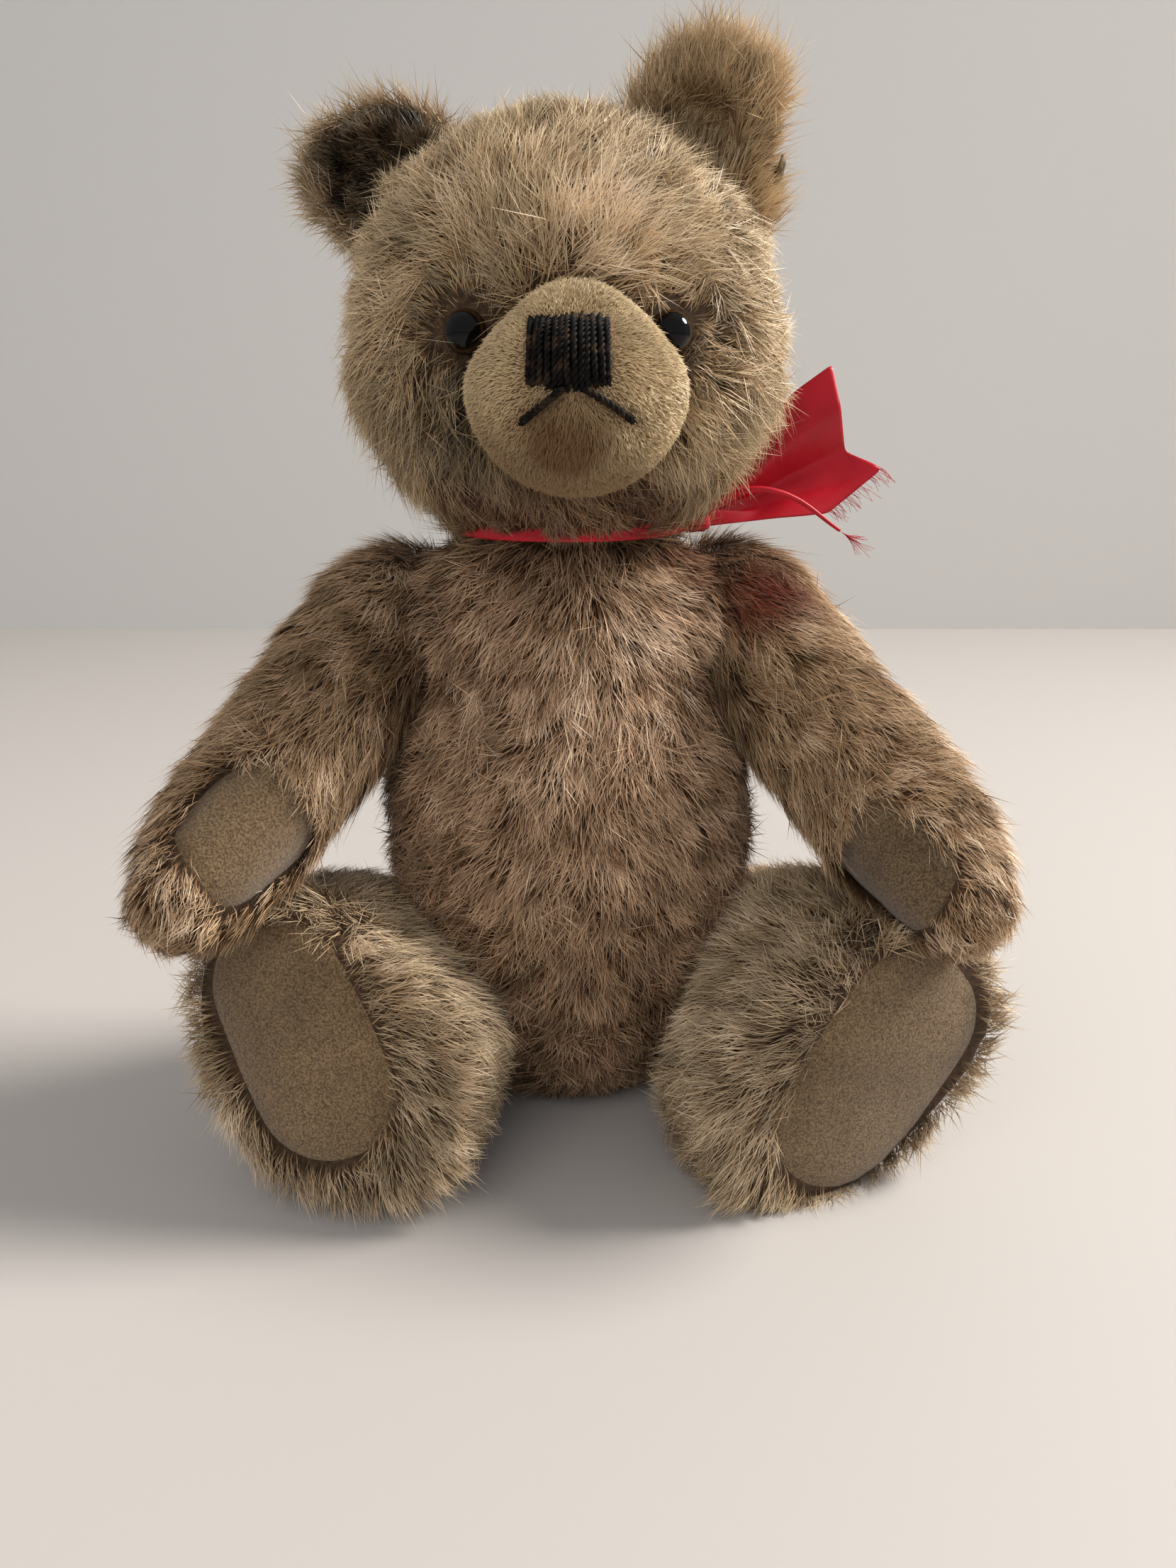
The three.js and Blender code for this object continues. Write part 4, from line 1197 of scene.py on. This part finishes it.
def ear(side, fibre, facing, seed, dark, length, flop, upright=0.0, drop=0.0, slide=0.0):
    """An ear's skin and pile. A dark ear has a short, matted cup coloured darker, partly with painted shade;
    a less dark ear is lighter all over, partly painted light; and an upright one has its pile combed up.
    """
    made = evened(f"ear_{side}_skin", copied(f"ear_{side}"), 1.0 * MM, 4)
    low, high = box_of(f"ear_{side}")
    middle = middle_of(f"ear_{side}")
    points = points_of(made.data)
    lower = smooth_step(points[:, 2], low[2] + 4 * MM, high[2])
    points[:, 2] -= flop * lower + drop * (1 - smooth_step(points[:, 2], low[2], middle[2]))
    points[:, 0] += slide
    move_points(made.data, points)
    normals = normals_of(made.data)
    out = unit(middle - HEAD_MIDDLE)
    front = unit(facing)
    radial = points - middle
    radial -= np.outer(radial @ front, front)
    away = np.linalg.norm(radial, axis=1)
    inside = smooth_step(normals @ front, 0.1, 0.55) * (1 - smooth_step(away, 10 * MM, 14 * MM))
    at_stud = near(points, STUD, 4.5 * MM, 6.5 * MM)
    by_stud = near(points, STUD, 5 * MM, 11 * MM)
    rim = smooth_step(away, 9 * MM, 15 * MM)
    low_down = 1 - smooth_step(points[:, 2], low[2] + 3 * MM, low[2] + 10 * MM)
    nap = unit(radial) * (1 - upright) + 0.6 * out + (0.2 * upright, 0, 0.9 * upright)
    lengths = (length - 7 * MM * inside * dark) * (1 - 0.3 * low_down * dark) * (1 - 0.6 * by_stud)
    set_pile(made, nap, pile=lengths, lift=0.5 + 0.15 * rim - 0.2 * inside, cover=1 - at_stud,
             tone=0.5 + 0.2 * (1 - dark) - (0.15 + 0.65 * dark) * inside)
    made.data.materials.append(backing)
    return made, grow_pile(f"ear_{side}_pile", made, fibre, 7.5e6, seed=seed, lock=4.5 * MM, pull=0.5,
                           disorder=0.45)


EARS = {
    "right": ear("right", FIBRES["ear"], (0.35, -1, 0), seed=61, dark=1.0, length=11 * MM, flop=4 * MM),
    "left": ear("left", FIBRES["head"], (-0.35, -1, 0), seed=63, dark=0.15, length=14 * MM, flop=1 * MM,
                upright=0.6, drop=4 * MM, slide=-2 * MM),
}

for made in BIG_SKINS:
    made.data.materials.append(backing)
muzzle.data.materials.append(muzzle_backing)

# %% [markdown]
# ## Thread
#
# The nose, the mouth and the seams round the pads are sewn with plied thread. A tree takes a line, steps
# along it evenly, lays the plies round it in a twist and sweeps a small circle along each. Thread could be
# a plain tube with a bump, but up close its twist catches the light, and the nose is the first thing anyone
# looks at.

# %% The tree that makes thread
def thread_tree():
    tree = Tree("thread", {
        "Radius": "NodeSocketFloat",
        "Plies": "NodeSocketInt",
        "Twist length": "NodeSocketFloat",
        "Step": "NodeSocketFloat",
        "Sides": "NodeSocketInt",
        "Material": "NodeSocketMaterial",
    })
    given = tree.inputs
    line = tree.node("GeometryNodeMeshToCurve", {"Mesh": given["Geometry"]}).outputs[0]
    even = tree.node("GeometryNodeResampleCurve", {"Curve": line, "Length": given["Step"]}, mode="LENGTH")
    inputs = {"Geometry": even.outputs[0], "Amount": given["Plies"]}
    copies = tree.node("GeometryNodeDuplicateElements", inputs, domain="SPLINE")
    plies = tree.store(copies.outputs[0], "ply", copies.outputs[1])
    share = tree.math("DIVIDE", tree.attribute("ply"), given["Plies"])
    run = tree.node("GeometryNodeSplineParameter").outputs["Length"]
    turn = tree.math("ADD", tree.math("DIVIDE", run, given["Twist length"]), share)
    turn = tree.math("MULTIPLY", turn, 2 * math.pi)
    normal = tree.node("GeometryNodeInputNormal").outputs[0]
    tangent = tree.node("GeometryNodeInputTangent").outputs[0]
    other = tree.vector("CROSS_PRODUCT", tangent, normal)
    apart = tree.vector("ADD", tree.vector("SCALE", normal, tree.math("COSINE", turn)),
                        tree.vector("SCALE", other, tree.math("SINE", turn)))
    apart = tree.vector("SCALE", apart, tree.math("MULTIPLY", given["Radius"], 0.5))
    moved = tree.node("GeometryNodeSetPosition", {"Geometry": plies, "Offset": apart}).outputs[0]
    thickness = tree.math("MULTIPLY", given["Radius"], 0.6)
    inputs = {"Resolution": given["Sides"], "Radius": thickness}
    circle = tree.node("GeometryNodeCurvePrimitiveCircle", inputs)
    inputs = {"Curve": moved, "Profile Curve": circle.outputs[0], "Fill Caps": True}
    swept = tree.node("GeometryNodeCurveToMesh", inputs).outputs[0]
    tree.finish(tree.node("GeometryNodeRealizeInstances", {0: swept}).outputs[0], ["ply"])
    return tree


THREAD = thread_tree()
print("thread tree", len(THREAD.tree.nodes), "nodes")


def sewn(name, lines, material, radius, plies=2, twist=2.4 * MM, step=0.45 * MM, sides=6):
    """Thread laid along lines of points, as one plain mesh. A line that ends where it starts is a loop."""
    points = []
    edges = []
    for line in lines:
        start = len(points)
        loop = np.linalg.norm(np.array(line[0]) - np.array(line[-1])) < 1e-7
        kept = line[:-1] if loop else line
        points += [tuple(point) for point in kept]
        edges += [(start + i, start + i + 1) for i in range(len(kept) - 1)]
        if loop:
            edges.append((start + len(kept) - 1, start))
    mesh = bpy.data.meshes.new(name)
    mesh.from_pydata(points, edges, [])
    return grown(put(name, mesh), THREAD, {
        "Radius": radius, "Plies": plies, "Twist length": twist, "Step": step, "Sides": sides,
        "Material": material,
    })


def thread_material(name, colour, worn):
    """Dyed cotton, paler where it is rubbed."""
    material, tree, shader = new_material(name)
    set_inputs(tree, shader, {
        "Base Color": ramp(tree, noise(tree, 420.0, 4.0), [(0.5, colour), (0.78, worn)]),
        "Normal": bumped(tree, noise(tree, 4000.0, 2.0), 0.5, 0.0001),
        "Roughness": 0.65,
        "Specular IOR Level": 0.1,
    })
    return material


black_thread = thread_material("black_thread", (0.006, 0.005, 0.0045), (0.06, 0.035, 0.02))
seam_thread = thread_material("seam_thread", (0.1, 0.06, 0.03), (0.15, 0.1, 0.055))

# %% Nose and mouth
rng = np.random.default_rng(7)
ROWS = 13
nose_lines = []
for row in range(ROWS):
    across = (row + 0.5) / ROWS - 0.5
    line = []
    top_end = nose_high[2] + rng.uniform(-0.5, 0.35) * MM
    low_end = nose_low[2] - (0.9 * MM) * (1 - (2 * across) ** 2) + rng.uniform(-0.35, 0.35) * MM
    for share in np.linspace(0, 1, 11):
        width = nose_width * (0.95 + 0.08 * share)
        wander = 0.16 * math.sin(2.2 * share + 1.7 * row) + rng.uniform(-0.05, 0.05)
        place = nose_middle[0] + across * width + wander * MM
        height = top_end + (low_end - top_end) * share
        out = -0.9 + 2.6 * (1 - abs(2 * share - 1) ** 5) - 0.5 * abs(2 * across) ** 3
        line.append(on_muzzle(place, height, out * MM))
    nose_lines.append(line)
nose = sewn("nose_thread", nose_lines, black_thread, radius=0.62 * MM)

mouths = {}
for side, (inner, outer) in mouth_ends.items():
    line = []
    for share in np.linspace(0, 1, 9):
        place = inner + (outer - inner) * share
        out = -1.2 + 2.7 * (1 - abs(2 * share - 1) ** 6)
        line.append(on_muzzle(place[0], place[2], out * MM))
    mouths[side] = sewn(f"mouth_{side}_thread", [line], black_thread, radius=0.72 * MM)


# %% Nose bed
def nose_bed(columns=14, rows=11):
    """Padding stitches under the nose, so that no pile shows between its rows."""
    points = []
    for out in (0.75, -1.2):
        for row in range(rows):
            for column in range(columns):
                share = row / (rows - 1)
                across = column / (columns - 1) - 0.5
                place = nose_middle[0] + across * nose_width * (0.9 + 0.08 * share)
                height = nose_high[2] - 0.5 * MM + (nose_low[2] - nose_high[2] + 0.8 * MM) * share
                points.append(on_muzzle(place, height, out * MM))
    under = columns * rows
    faces = []
    for row in range(rows - 1):
        for column in range(columns - 1):
            a = row * columns + column
            faces.append((a, a + columns, a + columns + 1, a + 1))
            faces.append((under + a, under + a + 1, under + a + columns + 1, under + a + columns))
    edge = list(range(columns))
    edge += [row * columns + columns - 1 for row in range(1, rows)]
    edge += [(rows - 1) * columns + column for column in range(columns - 2, -1, -1)]
    edge += [row * columns for row in range(rows - 2, 0, -1)]
    for i, a in enumerate(edge):
        b = edge[(i + 1) % len(edge)]
        faces.append((a, b, under + b, under + a))
    made = put("nose_bed", mesh_from("nose_bed", points, faces, smooth=False))
    made.data.materials.append(black_thread)
    print("nose bed", triangles_of(made), "triangles")
    return made


bed = nose_bed()

# %% Seams round the pads
seam_threads = {}
for name, seam in seams.items():
    loop = [*seam, seam[0]]
    seam_threads[name] = sewn(f"{name}_seam", [loop], seam_thread, radius=0.2 * MM, twist=1.6 * MM,
                              step=0.6 * MM, sides=5)

# %% [markdown]
# ## Eyes
#
# Each eye is a glass bead with a black pupil and a thin brown ring. Real ones are clear glass painted on
# the back, but the ring is so dark that a polished opaque bead with a clear coat looks the same.

# %% Eyes
PUPIL = (0.002, 0.0018, 0.0015)


def eye_material():
    material, tree, shader = new_material("eye_glass")
    stops = [(0.0, PUPIL), (0.8, PUPIL), (0.86, (0.05, 0.022, 0.009)), (0.93, (0.03, 0.014, 0.006)),
             (1.0, (0.005, 0.003, 0.002))]
    set_inputs(tree, shader, {
        "Base Color": ramp(tree, painted(tree, "ring"), stops),
        "Roughness": 0.08,
        "Specular IOR Level": 0.12,
        "Coat Weight": 0.2,
        "Coat Roughness": 0.015,
    })
    return material


eye_glass = eye_material()


EYE_FORWARD = 1.6 * MM


def eye(side, facing):
    """A bead whose ring attribute runs from 0 at the middle of the pupil to 1 at the rim."""
    low, high = box_of(f"eye_{side}")
    radius = (high[0] - low[0]) / 2
    work = bmesh.new()
    bmesh.ops.create_uvsphere(work, u_segments=48, v_segments=28, radius=radius)
    mesh = bpy.data.meshes.new(f"eye_{side}_glass")
    work.to_mesh(mesh)
    work.free()
    flat = points_of(mesh)
    ring = np.where(flat[:, 2] > 0, np.hypot(flat[:, 0], flat[:, 1]) / radius, 1.0)
    write(mesh, "ring", ring.astype(np.float32))
    turn = Vector(facing).to_track_quat("Z", "Y").to_matrix().to_4x4()
    place = (low + high) / 2
    place[1] = low[1] + radius - EYE_FORWARD
    mesh.transform(Matrix.Translation(Vector(place)) @ turn)
    mesh.shade_smooth()
    mesh.materials.append(eye_glass)
    print(mesh.name, "radius", round(radius / MM, 2), "mm")
    return put(mesh.name, mesh)


eyes = {"right": eye("right", (-0.12, -1, 0.04)), "left": eye("left", (0.12, -1, 0.04))}

# %% [markdown]
# ## Ribbon
#
# One strip of red satin, 25 mm wide, goes round the neck once and is knotted at the bear's left. One end
# stands out as a creased wing with a cut, frayed edge. The other has rolled up tight and ends in a tassel
# of loose warp. The strip could be dropped on the bear as a cloth simulation, but its folds have set over
# years, so they are laid here: a row of points across the strip at each step along it, gathered into
# pleats round the neck.

# %% Rows across the ribbon
ACROSS = 25
WIDTH = 25 * MM
UP = np.array([0, 0, 1.0])


def pleated(middle, side, up, height, depth, folds=6):
    """A row across the strip, folded to and fro into a bundle of some height and depth."""
    share = np.linspace(0, folds, ACROSS)
    fold = np.minimum(np.floor(share), folds - 1)
    within = share - fold
    rise = np.where(fold % 2 == 0, within, 1 - within) - 0.5
    shift = share / folds - 0.5
    return middle + np.outer(rise * height, up) + np.outer(shift * depth, side)


def rolled(middle, side, up, radius, turns):
    """A row across the strip, rolled up from one edge."""
    share = np.linspace(0, 1, ACROSS)
    angle = share * turns * 2 * math.pi
    out = radius * (0.35 + 0.65 * share)
    return middle + np.outer(out * np.cos(angle), side) + np.outer(out * np.sin(angle), up)


def opened(corners, shares):
    """A row across the strip through a few corners, each at its share of the width."""
    share = np.linspace(0, 1, ACROSS)
    corners = np.array(corners, float) * MM
    return np.stack([np.interp(share, shares, corners[:, axis]) for axis in range(3)], axis=1)


def between(first, second, steps):
    """The rows that lie evenly between two rows."""
    return [first + (second - first) * (step / steps) for step in range(1, steps)]


print("ribbon", ACROSS, "points across", WIDTH / MM, "mm")

# %% Ribbon strip
BAND_Z = 139.6 * MM
BAND_RADIUS = 23.2 * MM
rows = []

# The wing, from its cut end to the knot.
SHARES = [0, 0.3, 0.46, 0.74, 1]
wing = [
    opened([(60, 1, 141.5), (73, 5, 151.5), (64.5, 8, 155), (62, 3.5, 165), (60, 6, 174)], SHARES),
    opened([(54.5, 0.4, 141.0), (64, 6, 148.5), (59, 9, 152.5), (55, 3, 160), (51.5, 5.5, 168)], SHARES),
    opened([(48, 0.2, 140.5), (55, 6, 146), (52, 8.5, 149.5), (48, 2.5, 155), (43.5, 4.5, 159.5)], SHARES),
    opened([(42, 0.5, 139.8), (45.5, 4.5, 143), (43.5, 6, 145), (40.5, 2, 147.5), (36.5, 3.5, 149)], SHARES),
]
wing.append(pleated(at(31.5, 0.5, 140.8), np.array([0, 1.0, 0]), UP, 4.2 * MM, 3 * MM))
rows.append(wing[0])
for previous, row in zip(wing, wing[1:]):
    rows += between(previous, row, 5)
    rows.append(row)

# Round the neck in pleats, with small ripples.
STEPS = 60
for step in range(STEPS + 1):
    angle = -step / STEPS * 2 * math.pi + 0.05
    outward = np.array([math.cos(angle), math.sin(angle), 0])
    near_knot = math.exp(-(min(step, STEPS - step) / 4) ** 2)
    ripple = 0.3 * math.sin(step * 0.9) + 0.2 * math.sin(step * 2.3 + 1)
    middle = outward * (BAND_RADIUS + 4.5 * MM * near_knot) + UP * (BAND_Z + (0.3 * ripple + near_knot) * MM)
    rows.append(pleated(middle, outward, UP, (4.4 + 0.5 * ripple) * MM, (2.4 - 0.4 * ripple) * MM))

# The rolled tail, thinner towards its end.
TAIL = np.array([(31, -2.2, 140.8), (33.5, -4.2, 144.2), (37.5, -5.4, 146.6), (43, -6, 147.4),
                 (48, -6.1, 146.6), (52.5, -6, 144.6), (56, -6, 142.2), (59, -6, 139.9),
                 (61.5, -6, 138.2)]) * MM
TAIL_STEPS = 32
place = np.linspace(0, len(TAIL) - 1, TAIL_STEPS)
tail = np.stack([np.interp(place, range(len(TAIL)), TAIL[:, axis]) for axis in range(3)], axis=1)
for _ in range(3):
    tail[1:-1] = (tail[:-2] + 2 * tail[1:-1] + tail[2:]) / 4
for step in range(TAIL_STEPS):
    ahead = unit(tail[min(step + 1, TAIL_STEPS - 1)] - tail[max(step - 1, 0)])
    side = unit(np.cross(ahead, UP))
    upward = np.cross(side, ahead)
    share = step / (TAIL_STEPS - 1)
    rows.append(rolled(tail[step], side, upward, (1.25 - 0.85 * share ** 0.8) * MM, 3.5))

print("ribbon", len(rows), "rows")

# %% [markdown]
# The rows become one mesh. Its own UV map runs in the cloth's width and length, so that the weave follows
# every fold. The length is measured along the rows, which also gives the size of the flat strip. One round
# of subdivision softens the pleats, and then the cloth is given its thickness.

# %% Ribbon mesh
WEAVE_PER_METRE = 40
CLOTH_THICKNESS = 0.12 * MM
faces = []
for row in range(len(rows) - 1):
    for column in range(ACROSS - 1):
        a = row * ACROSS + column
        faces.append((a, a + 1, a + ACROSS + 1, a + ACROSS))
ribbon_mesh = mesh_from("ribbon", np.vstack(rows), faces)
cloth_uv = ribbon_mesh.uv_layers.new(name="cloth")
corner_points = np.empty(len(ribbon_mesh.loops), dtype=int)
ribbon_mesh.loops.foreach_get("vertex_index", corner_points)
steps_long = [np.linalg.norm(second - first, axis=1).mean() for first, second in zip(rows, rows[1:])]
lengthwise = np.concatenate([[0], np.cumsum(steps_long)])
uv = np.stack([(corner_points % ACROSS) / (ACROSS - 1) * WIDTH, lengthwise[corner_points // ACROSS]], axis=1)
cloth_uv.data.foreach_set("uv", (uv * WEAVE_PER_METRE).astype(np.float32).ravel())
ribbon = put("ribbon", ribbon_mesh)
subdivide = ribbon.modifiers.new("soft folds", "SUBSURF")
subdivide.levels = 1
subdivide.render_levels = 1
thick = ribbon.modifiers.new("thickness", "SOLIDIFY")
thick.thickness = CLOTH_THICKNESS
thick.offset = 0
settled(ribbon)
ribbon.data.shade_smooth()

# %% Satin
def satin_material():
    material, tree, shader = new_material("red_satin")
    cloth = add_node(tree, "ShaderNodeUVMap", uv_map="cloth").outputs[0]
    inputs = {"Vector": cloth, "Scale": 22.0, "Distortion": 0.4}
    ribs = add_node(tree, "ShaderNodeTexWave", inputs, bands_direction="Y").outputs["Fac"]
    reds = [(0.3, (0.36, 0.004, 0.012)), (0.7, (0.56, 0.01, 0.024))]
    set_inputs(tree, shader, {
        "Base Color": ramp(tree, noise(tree, 70.0, 3.0), reds),
        "Normal": bumped(tree, ribs, 0.12, 0.0001),
        "Roughness": 0.42,
        "Specular IOR Level": 0.3,
    })
    return material


red_satin = satin_material()
ribbon.data.materials.append(red_satin)


# %% Knot
KNOT_AT = np.array([29.3, -0.6, 140.0])


def wrap_round_knot(around=28, along=9):
    """The turn of ribbon that holds the knot: a small puckered ring round the gathered strip."""
    points = []
    for i in range(along):
        share = i / (along - 1) * 2 - 1
        for j in range(around):
            angle = j / around * 2 * math.pi
            pucker = 1 + 0.09 * math.sin(5 * angle + 2 * share)
            radius = pucker * (1 - 0.35 * share ** 4)
            off = (3.4 * share, 3.4 * radius * math.cos(angle), 2.5 * radius * math.sin(angle))
            points.append(KNOT_AT + off)
    faces = []
    for i in range(along - 1):
        for j in range(around):
            k = (j + 1) % around
            faces.append((i * around + j, (i + 1) * around + j, (i + 1) * around + k, i * around + k))
    faces.append(tuple(range(around)))
    faces.append(tuple((along - 1) * around + j for j in reversed(range(around))))
    mesh = mesh_from("ribbon_knot", np.array(points) * MM, faces)
    mesh.materials.append(red_satin)
    return put("ribbon_knot", mesh)


knot = wrap_round_knot()
print("knot", triangles_of(knot), "triangles")

# %% [markdown]
# Where the satin was cut its weft has come out, and the warp hangs loose: short threads along the cut of
# the wing, and a longer tassel at the end of the rolled tail. They are the same plied thread with one thin
# ply.

# %% Fringe and tassel
FRINGE = 60
TASSEL = 26
loose = []
end = rows[0]
for i in range(FRINGE):
    share = rng.uniform(0, 0.31)
    start = np.array([np.interp(share, np.linspace(0, 1, ACROSS), end[:, axis]) for axis in range(3)])
    aim = unit(np.array([0.75, rng.uniform(-0.35, 0.35), -0.55 + rng.uniform(-0.3, 0.3)]))
    length = rng.uniform(1.2, 4.6) * MM
    bend = np.array([rng.uniform(-0.4, 0.4), rng.uniform(-0.4, 0.4), rng.uniform(-0.6, 0.2)]) * length
    loose.append([start - 0.4 * MM * aim, start + 0.5 * length * aim, start + length * aim + 0.5 * bend])
tip = tail[-1]
run = unit(tail[-1] - tail[-4])
for i in range(TASSEL):
    spread = np.array([rng.uniform(-0.25, 0.4), rng.uniform(-0.35, 0.35), rng.uniform(-0.45, 0.5)])
    length = rng.uniform(4.5, 9.5) * MM
    aim = unit(run + 0.9 * spread)
    bent = tip + 0.6 * length * unit(run + aim)
    loose.append([tip - 1.5 * MM * run, tip + 0.25 * length * run, bent, tip + length * aim])
loose_threads = sewn("ribbon_fringe", loose, red_satin, radius=0.09 * MM, plies=1, twist=50 * MM,
                     step=1.0 * MM, sides=3)

# %% [markdown]
# ## Stage and light
#
# A white table against a pale wall. A sky picture could light it, but its shadows have no clear side. Here
# the lamp is high on the right and a little behind, so the shadow falls softly to the left and forward, and
# a broad weak lamp in front fills the face.

# %% Stage
STAGE_HALF = 3.0


def stage_plane(name, place, turn, colour):
    square = [(x * STAGE_HALF, y * STAGE_HALF, 0) for x, y in ((-1, -1), (1, -1), (1, 1), (-1, 1))]
    mesh = mesh_from(name, square, [(0, 1, 2, 3)])
    mesh.transform(Matrix.Translation(place) @ Matrix.Rotation(turn, 4, "X"))
    made = put(name, mesh)
    material, tree, shader = new_material(name)
    set_inputs(tree, shader, {"Base Color": (*colour, 1), "Roughness": 0.6})
    mesh.materials.append(material)


FLOOR_Z = LOWEST - 0.3 * MM
WALL_Y = 0.69
stage_plane("floor", (0, 0, FLOOR_Z), 0, (0.472, 0.443, 0.415))
stage_plane("wall", (0, WALL_Y, 0), math.radians(90), (0.68, 0.665, 0.635))
print("floor at", round(FLOOR_Z / MM, 1), "mm, wall at", round(WALL_Y / MM), "mm")


# %% Lamps
def lamp(name, place, aim, size, power, colour, spread=180):
    data = bpy.data.lights.new(name, "AREA")
    data.shape = "DISK"
    data.size = size
    data.energy = power
    data.color = colour
    data.spread = math.radians(spread)
    made = bpy.data.objects.new(name, data)
    made.location = place
    made.rotation_euler = (Vector(aim) - Vector(place)).to_track_quat("-Z", "Y").to_euler()
    bpy.context.collection.objects.link(made)
    return made


key = lamp("key", (1.75, 0.34, 1.55), (0, -0.02, 0.1), 0.8, 14.4, (1, 0.965, 0.92), spread=70)
fill = lamp("fill", (-0.3, -0.9, 0.9), (0, 0, 0.1), 0.9, 3.8, (1, 0.98, 0.96))
fill.visible_glossy = False
world = bpy.data.worlds.new("world")
bpy.context.scene.world = world
world.use_nodes = True
sky = world.node_tree.nodes["Background"]
set_inputs(world.node_tree, sky, {"Color": (0.96, 0.96, 1.0, 1), "Strength": 0.5})
bpy.context.scene.view_settings.view_transform = "Standard"
print("lamps", key.data.energy, "and", fill.data.energy, "watts")

# %% [markdown]
# ## Parts inside
#
# The fillings, discs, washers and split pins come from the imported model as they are. They only need their
# finish.

# %% Finishes of the inside and the stud
INSIDE = {
    "wood_wool": plain_material("wood_wool", (0.32, 0.2, 0.08), (0.68, 0.52, 0.28), 500.0, 0.8),
    "hardboard": plain_material("hardboard", (0.08, 0.04, 0.018), (0.19, 0.11, 0.055), 900.0, 0.75),
    "steel": plain_material("steel", (0.4, 0.41, 0.42), (0.56, 0.57, 0.58), 700.0, 0.32, 1.0),
    "bronze": plain_material("bronze", (0.07, 0.045, 0.02), (0.2, 0.14, 0.07), 900.0, 0.38, 1.0),
}
finished = 0
for part in frame["record"]["subparts"]:
    finish = INSIDE.get(part["material_slot"])
    if finish:
        slots = NODES[part["node"]].data.materials
        slots.clear()
        slots.append(finish)
        finished += 1
print("finished", finished, "packed parts")

# %% [markdown]
# ## What rides on what
#
# Each piece moves with the body it is sewn to, and where it is the real look of an imported part it stands
# for that part, which is hidden. The ribbon only rests on the shoulders, so it stays with the torso when the
# head turns. The ribbon is a gathered sheet with its knot and threads.

# %% What rides on what
RIDES = {
    "torso": [(torso, "body_mohair"), (torso_pile, "body_mohair"), (ribbon, "red_satin"), (knot, "red_satin"),
              (loose_threads, "red_satin")],
    "head": [(head, "head_mohair"), (head_pile, "head_mohair"), (muzzle, "muzzle_pile"),
             (muzzle_pile, "muzzle_pile"), (nose, "black_thread"), (bed, "black_thread")],
}
REPLACED = {torso: ["torso_cover"], head: ["head_cover"], muzzle: ["muzzle_cover"], nose: ["nose_stitching"],
            ribbon: ["neck_ribbon"]}
for side in SIDES:
    ear_skin, ear_pile = EARS[side]
    RIDES["head"] += [(ear_skin, "ear_mohair"), (ear_pile, "ear_mohair"), (eyes[side], "eye_glass"),
                      (mouths[side], "black_thread")]
    RIDES[f"arm_{side}"] = [(arms[side], "arm_mohair"), (arm_piles[side], "arm_mohair")]
    RIDES[f"leg_{side}"] = [(legs[side], "leg_mohair"), (leg_piles[side], "leg_mohair")]
    for kind, limb in (("paw", "arm"), ("foot", "leg")):
        name = f"{kind}_pad_{side}"
        RIDES[f"{limb}_{side}"] += [(pads[name], "felt"), (seam_threads[name], "felt")]
        REPLACED[pads[name]] = [name]
    REPLACED[arms[side]] = [f"arm_{side}_cover"]
    REPLACED[legs[side]] = [f"leg_{side}_cover"]
    REPLACED[ear_skin] = [f"ear_{side}"]
    REPLACED[eyes[side]] = [f"eye_{side}"]
    REPLACED[mouths[side]] = [f"mouth_stitch_{side}"]
for body, made in RIDES.items():
    for piece, slot in made:
        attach(piece, body)
for piece, nodes in REPLACED.items():
    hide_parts(*nodes)
total = sum(triangles_of(piece) for made in RIDES.values() for piece, slot in made)
print("triangles in all", total)
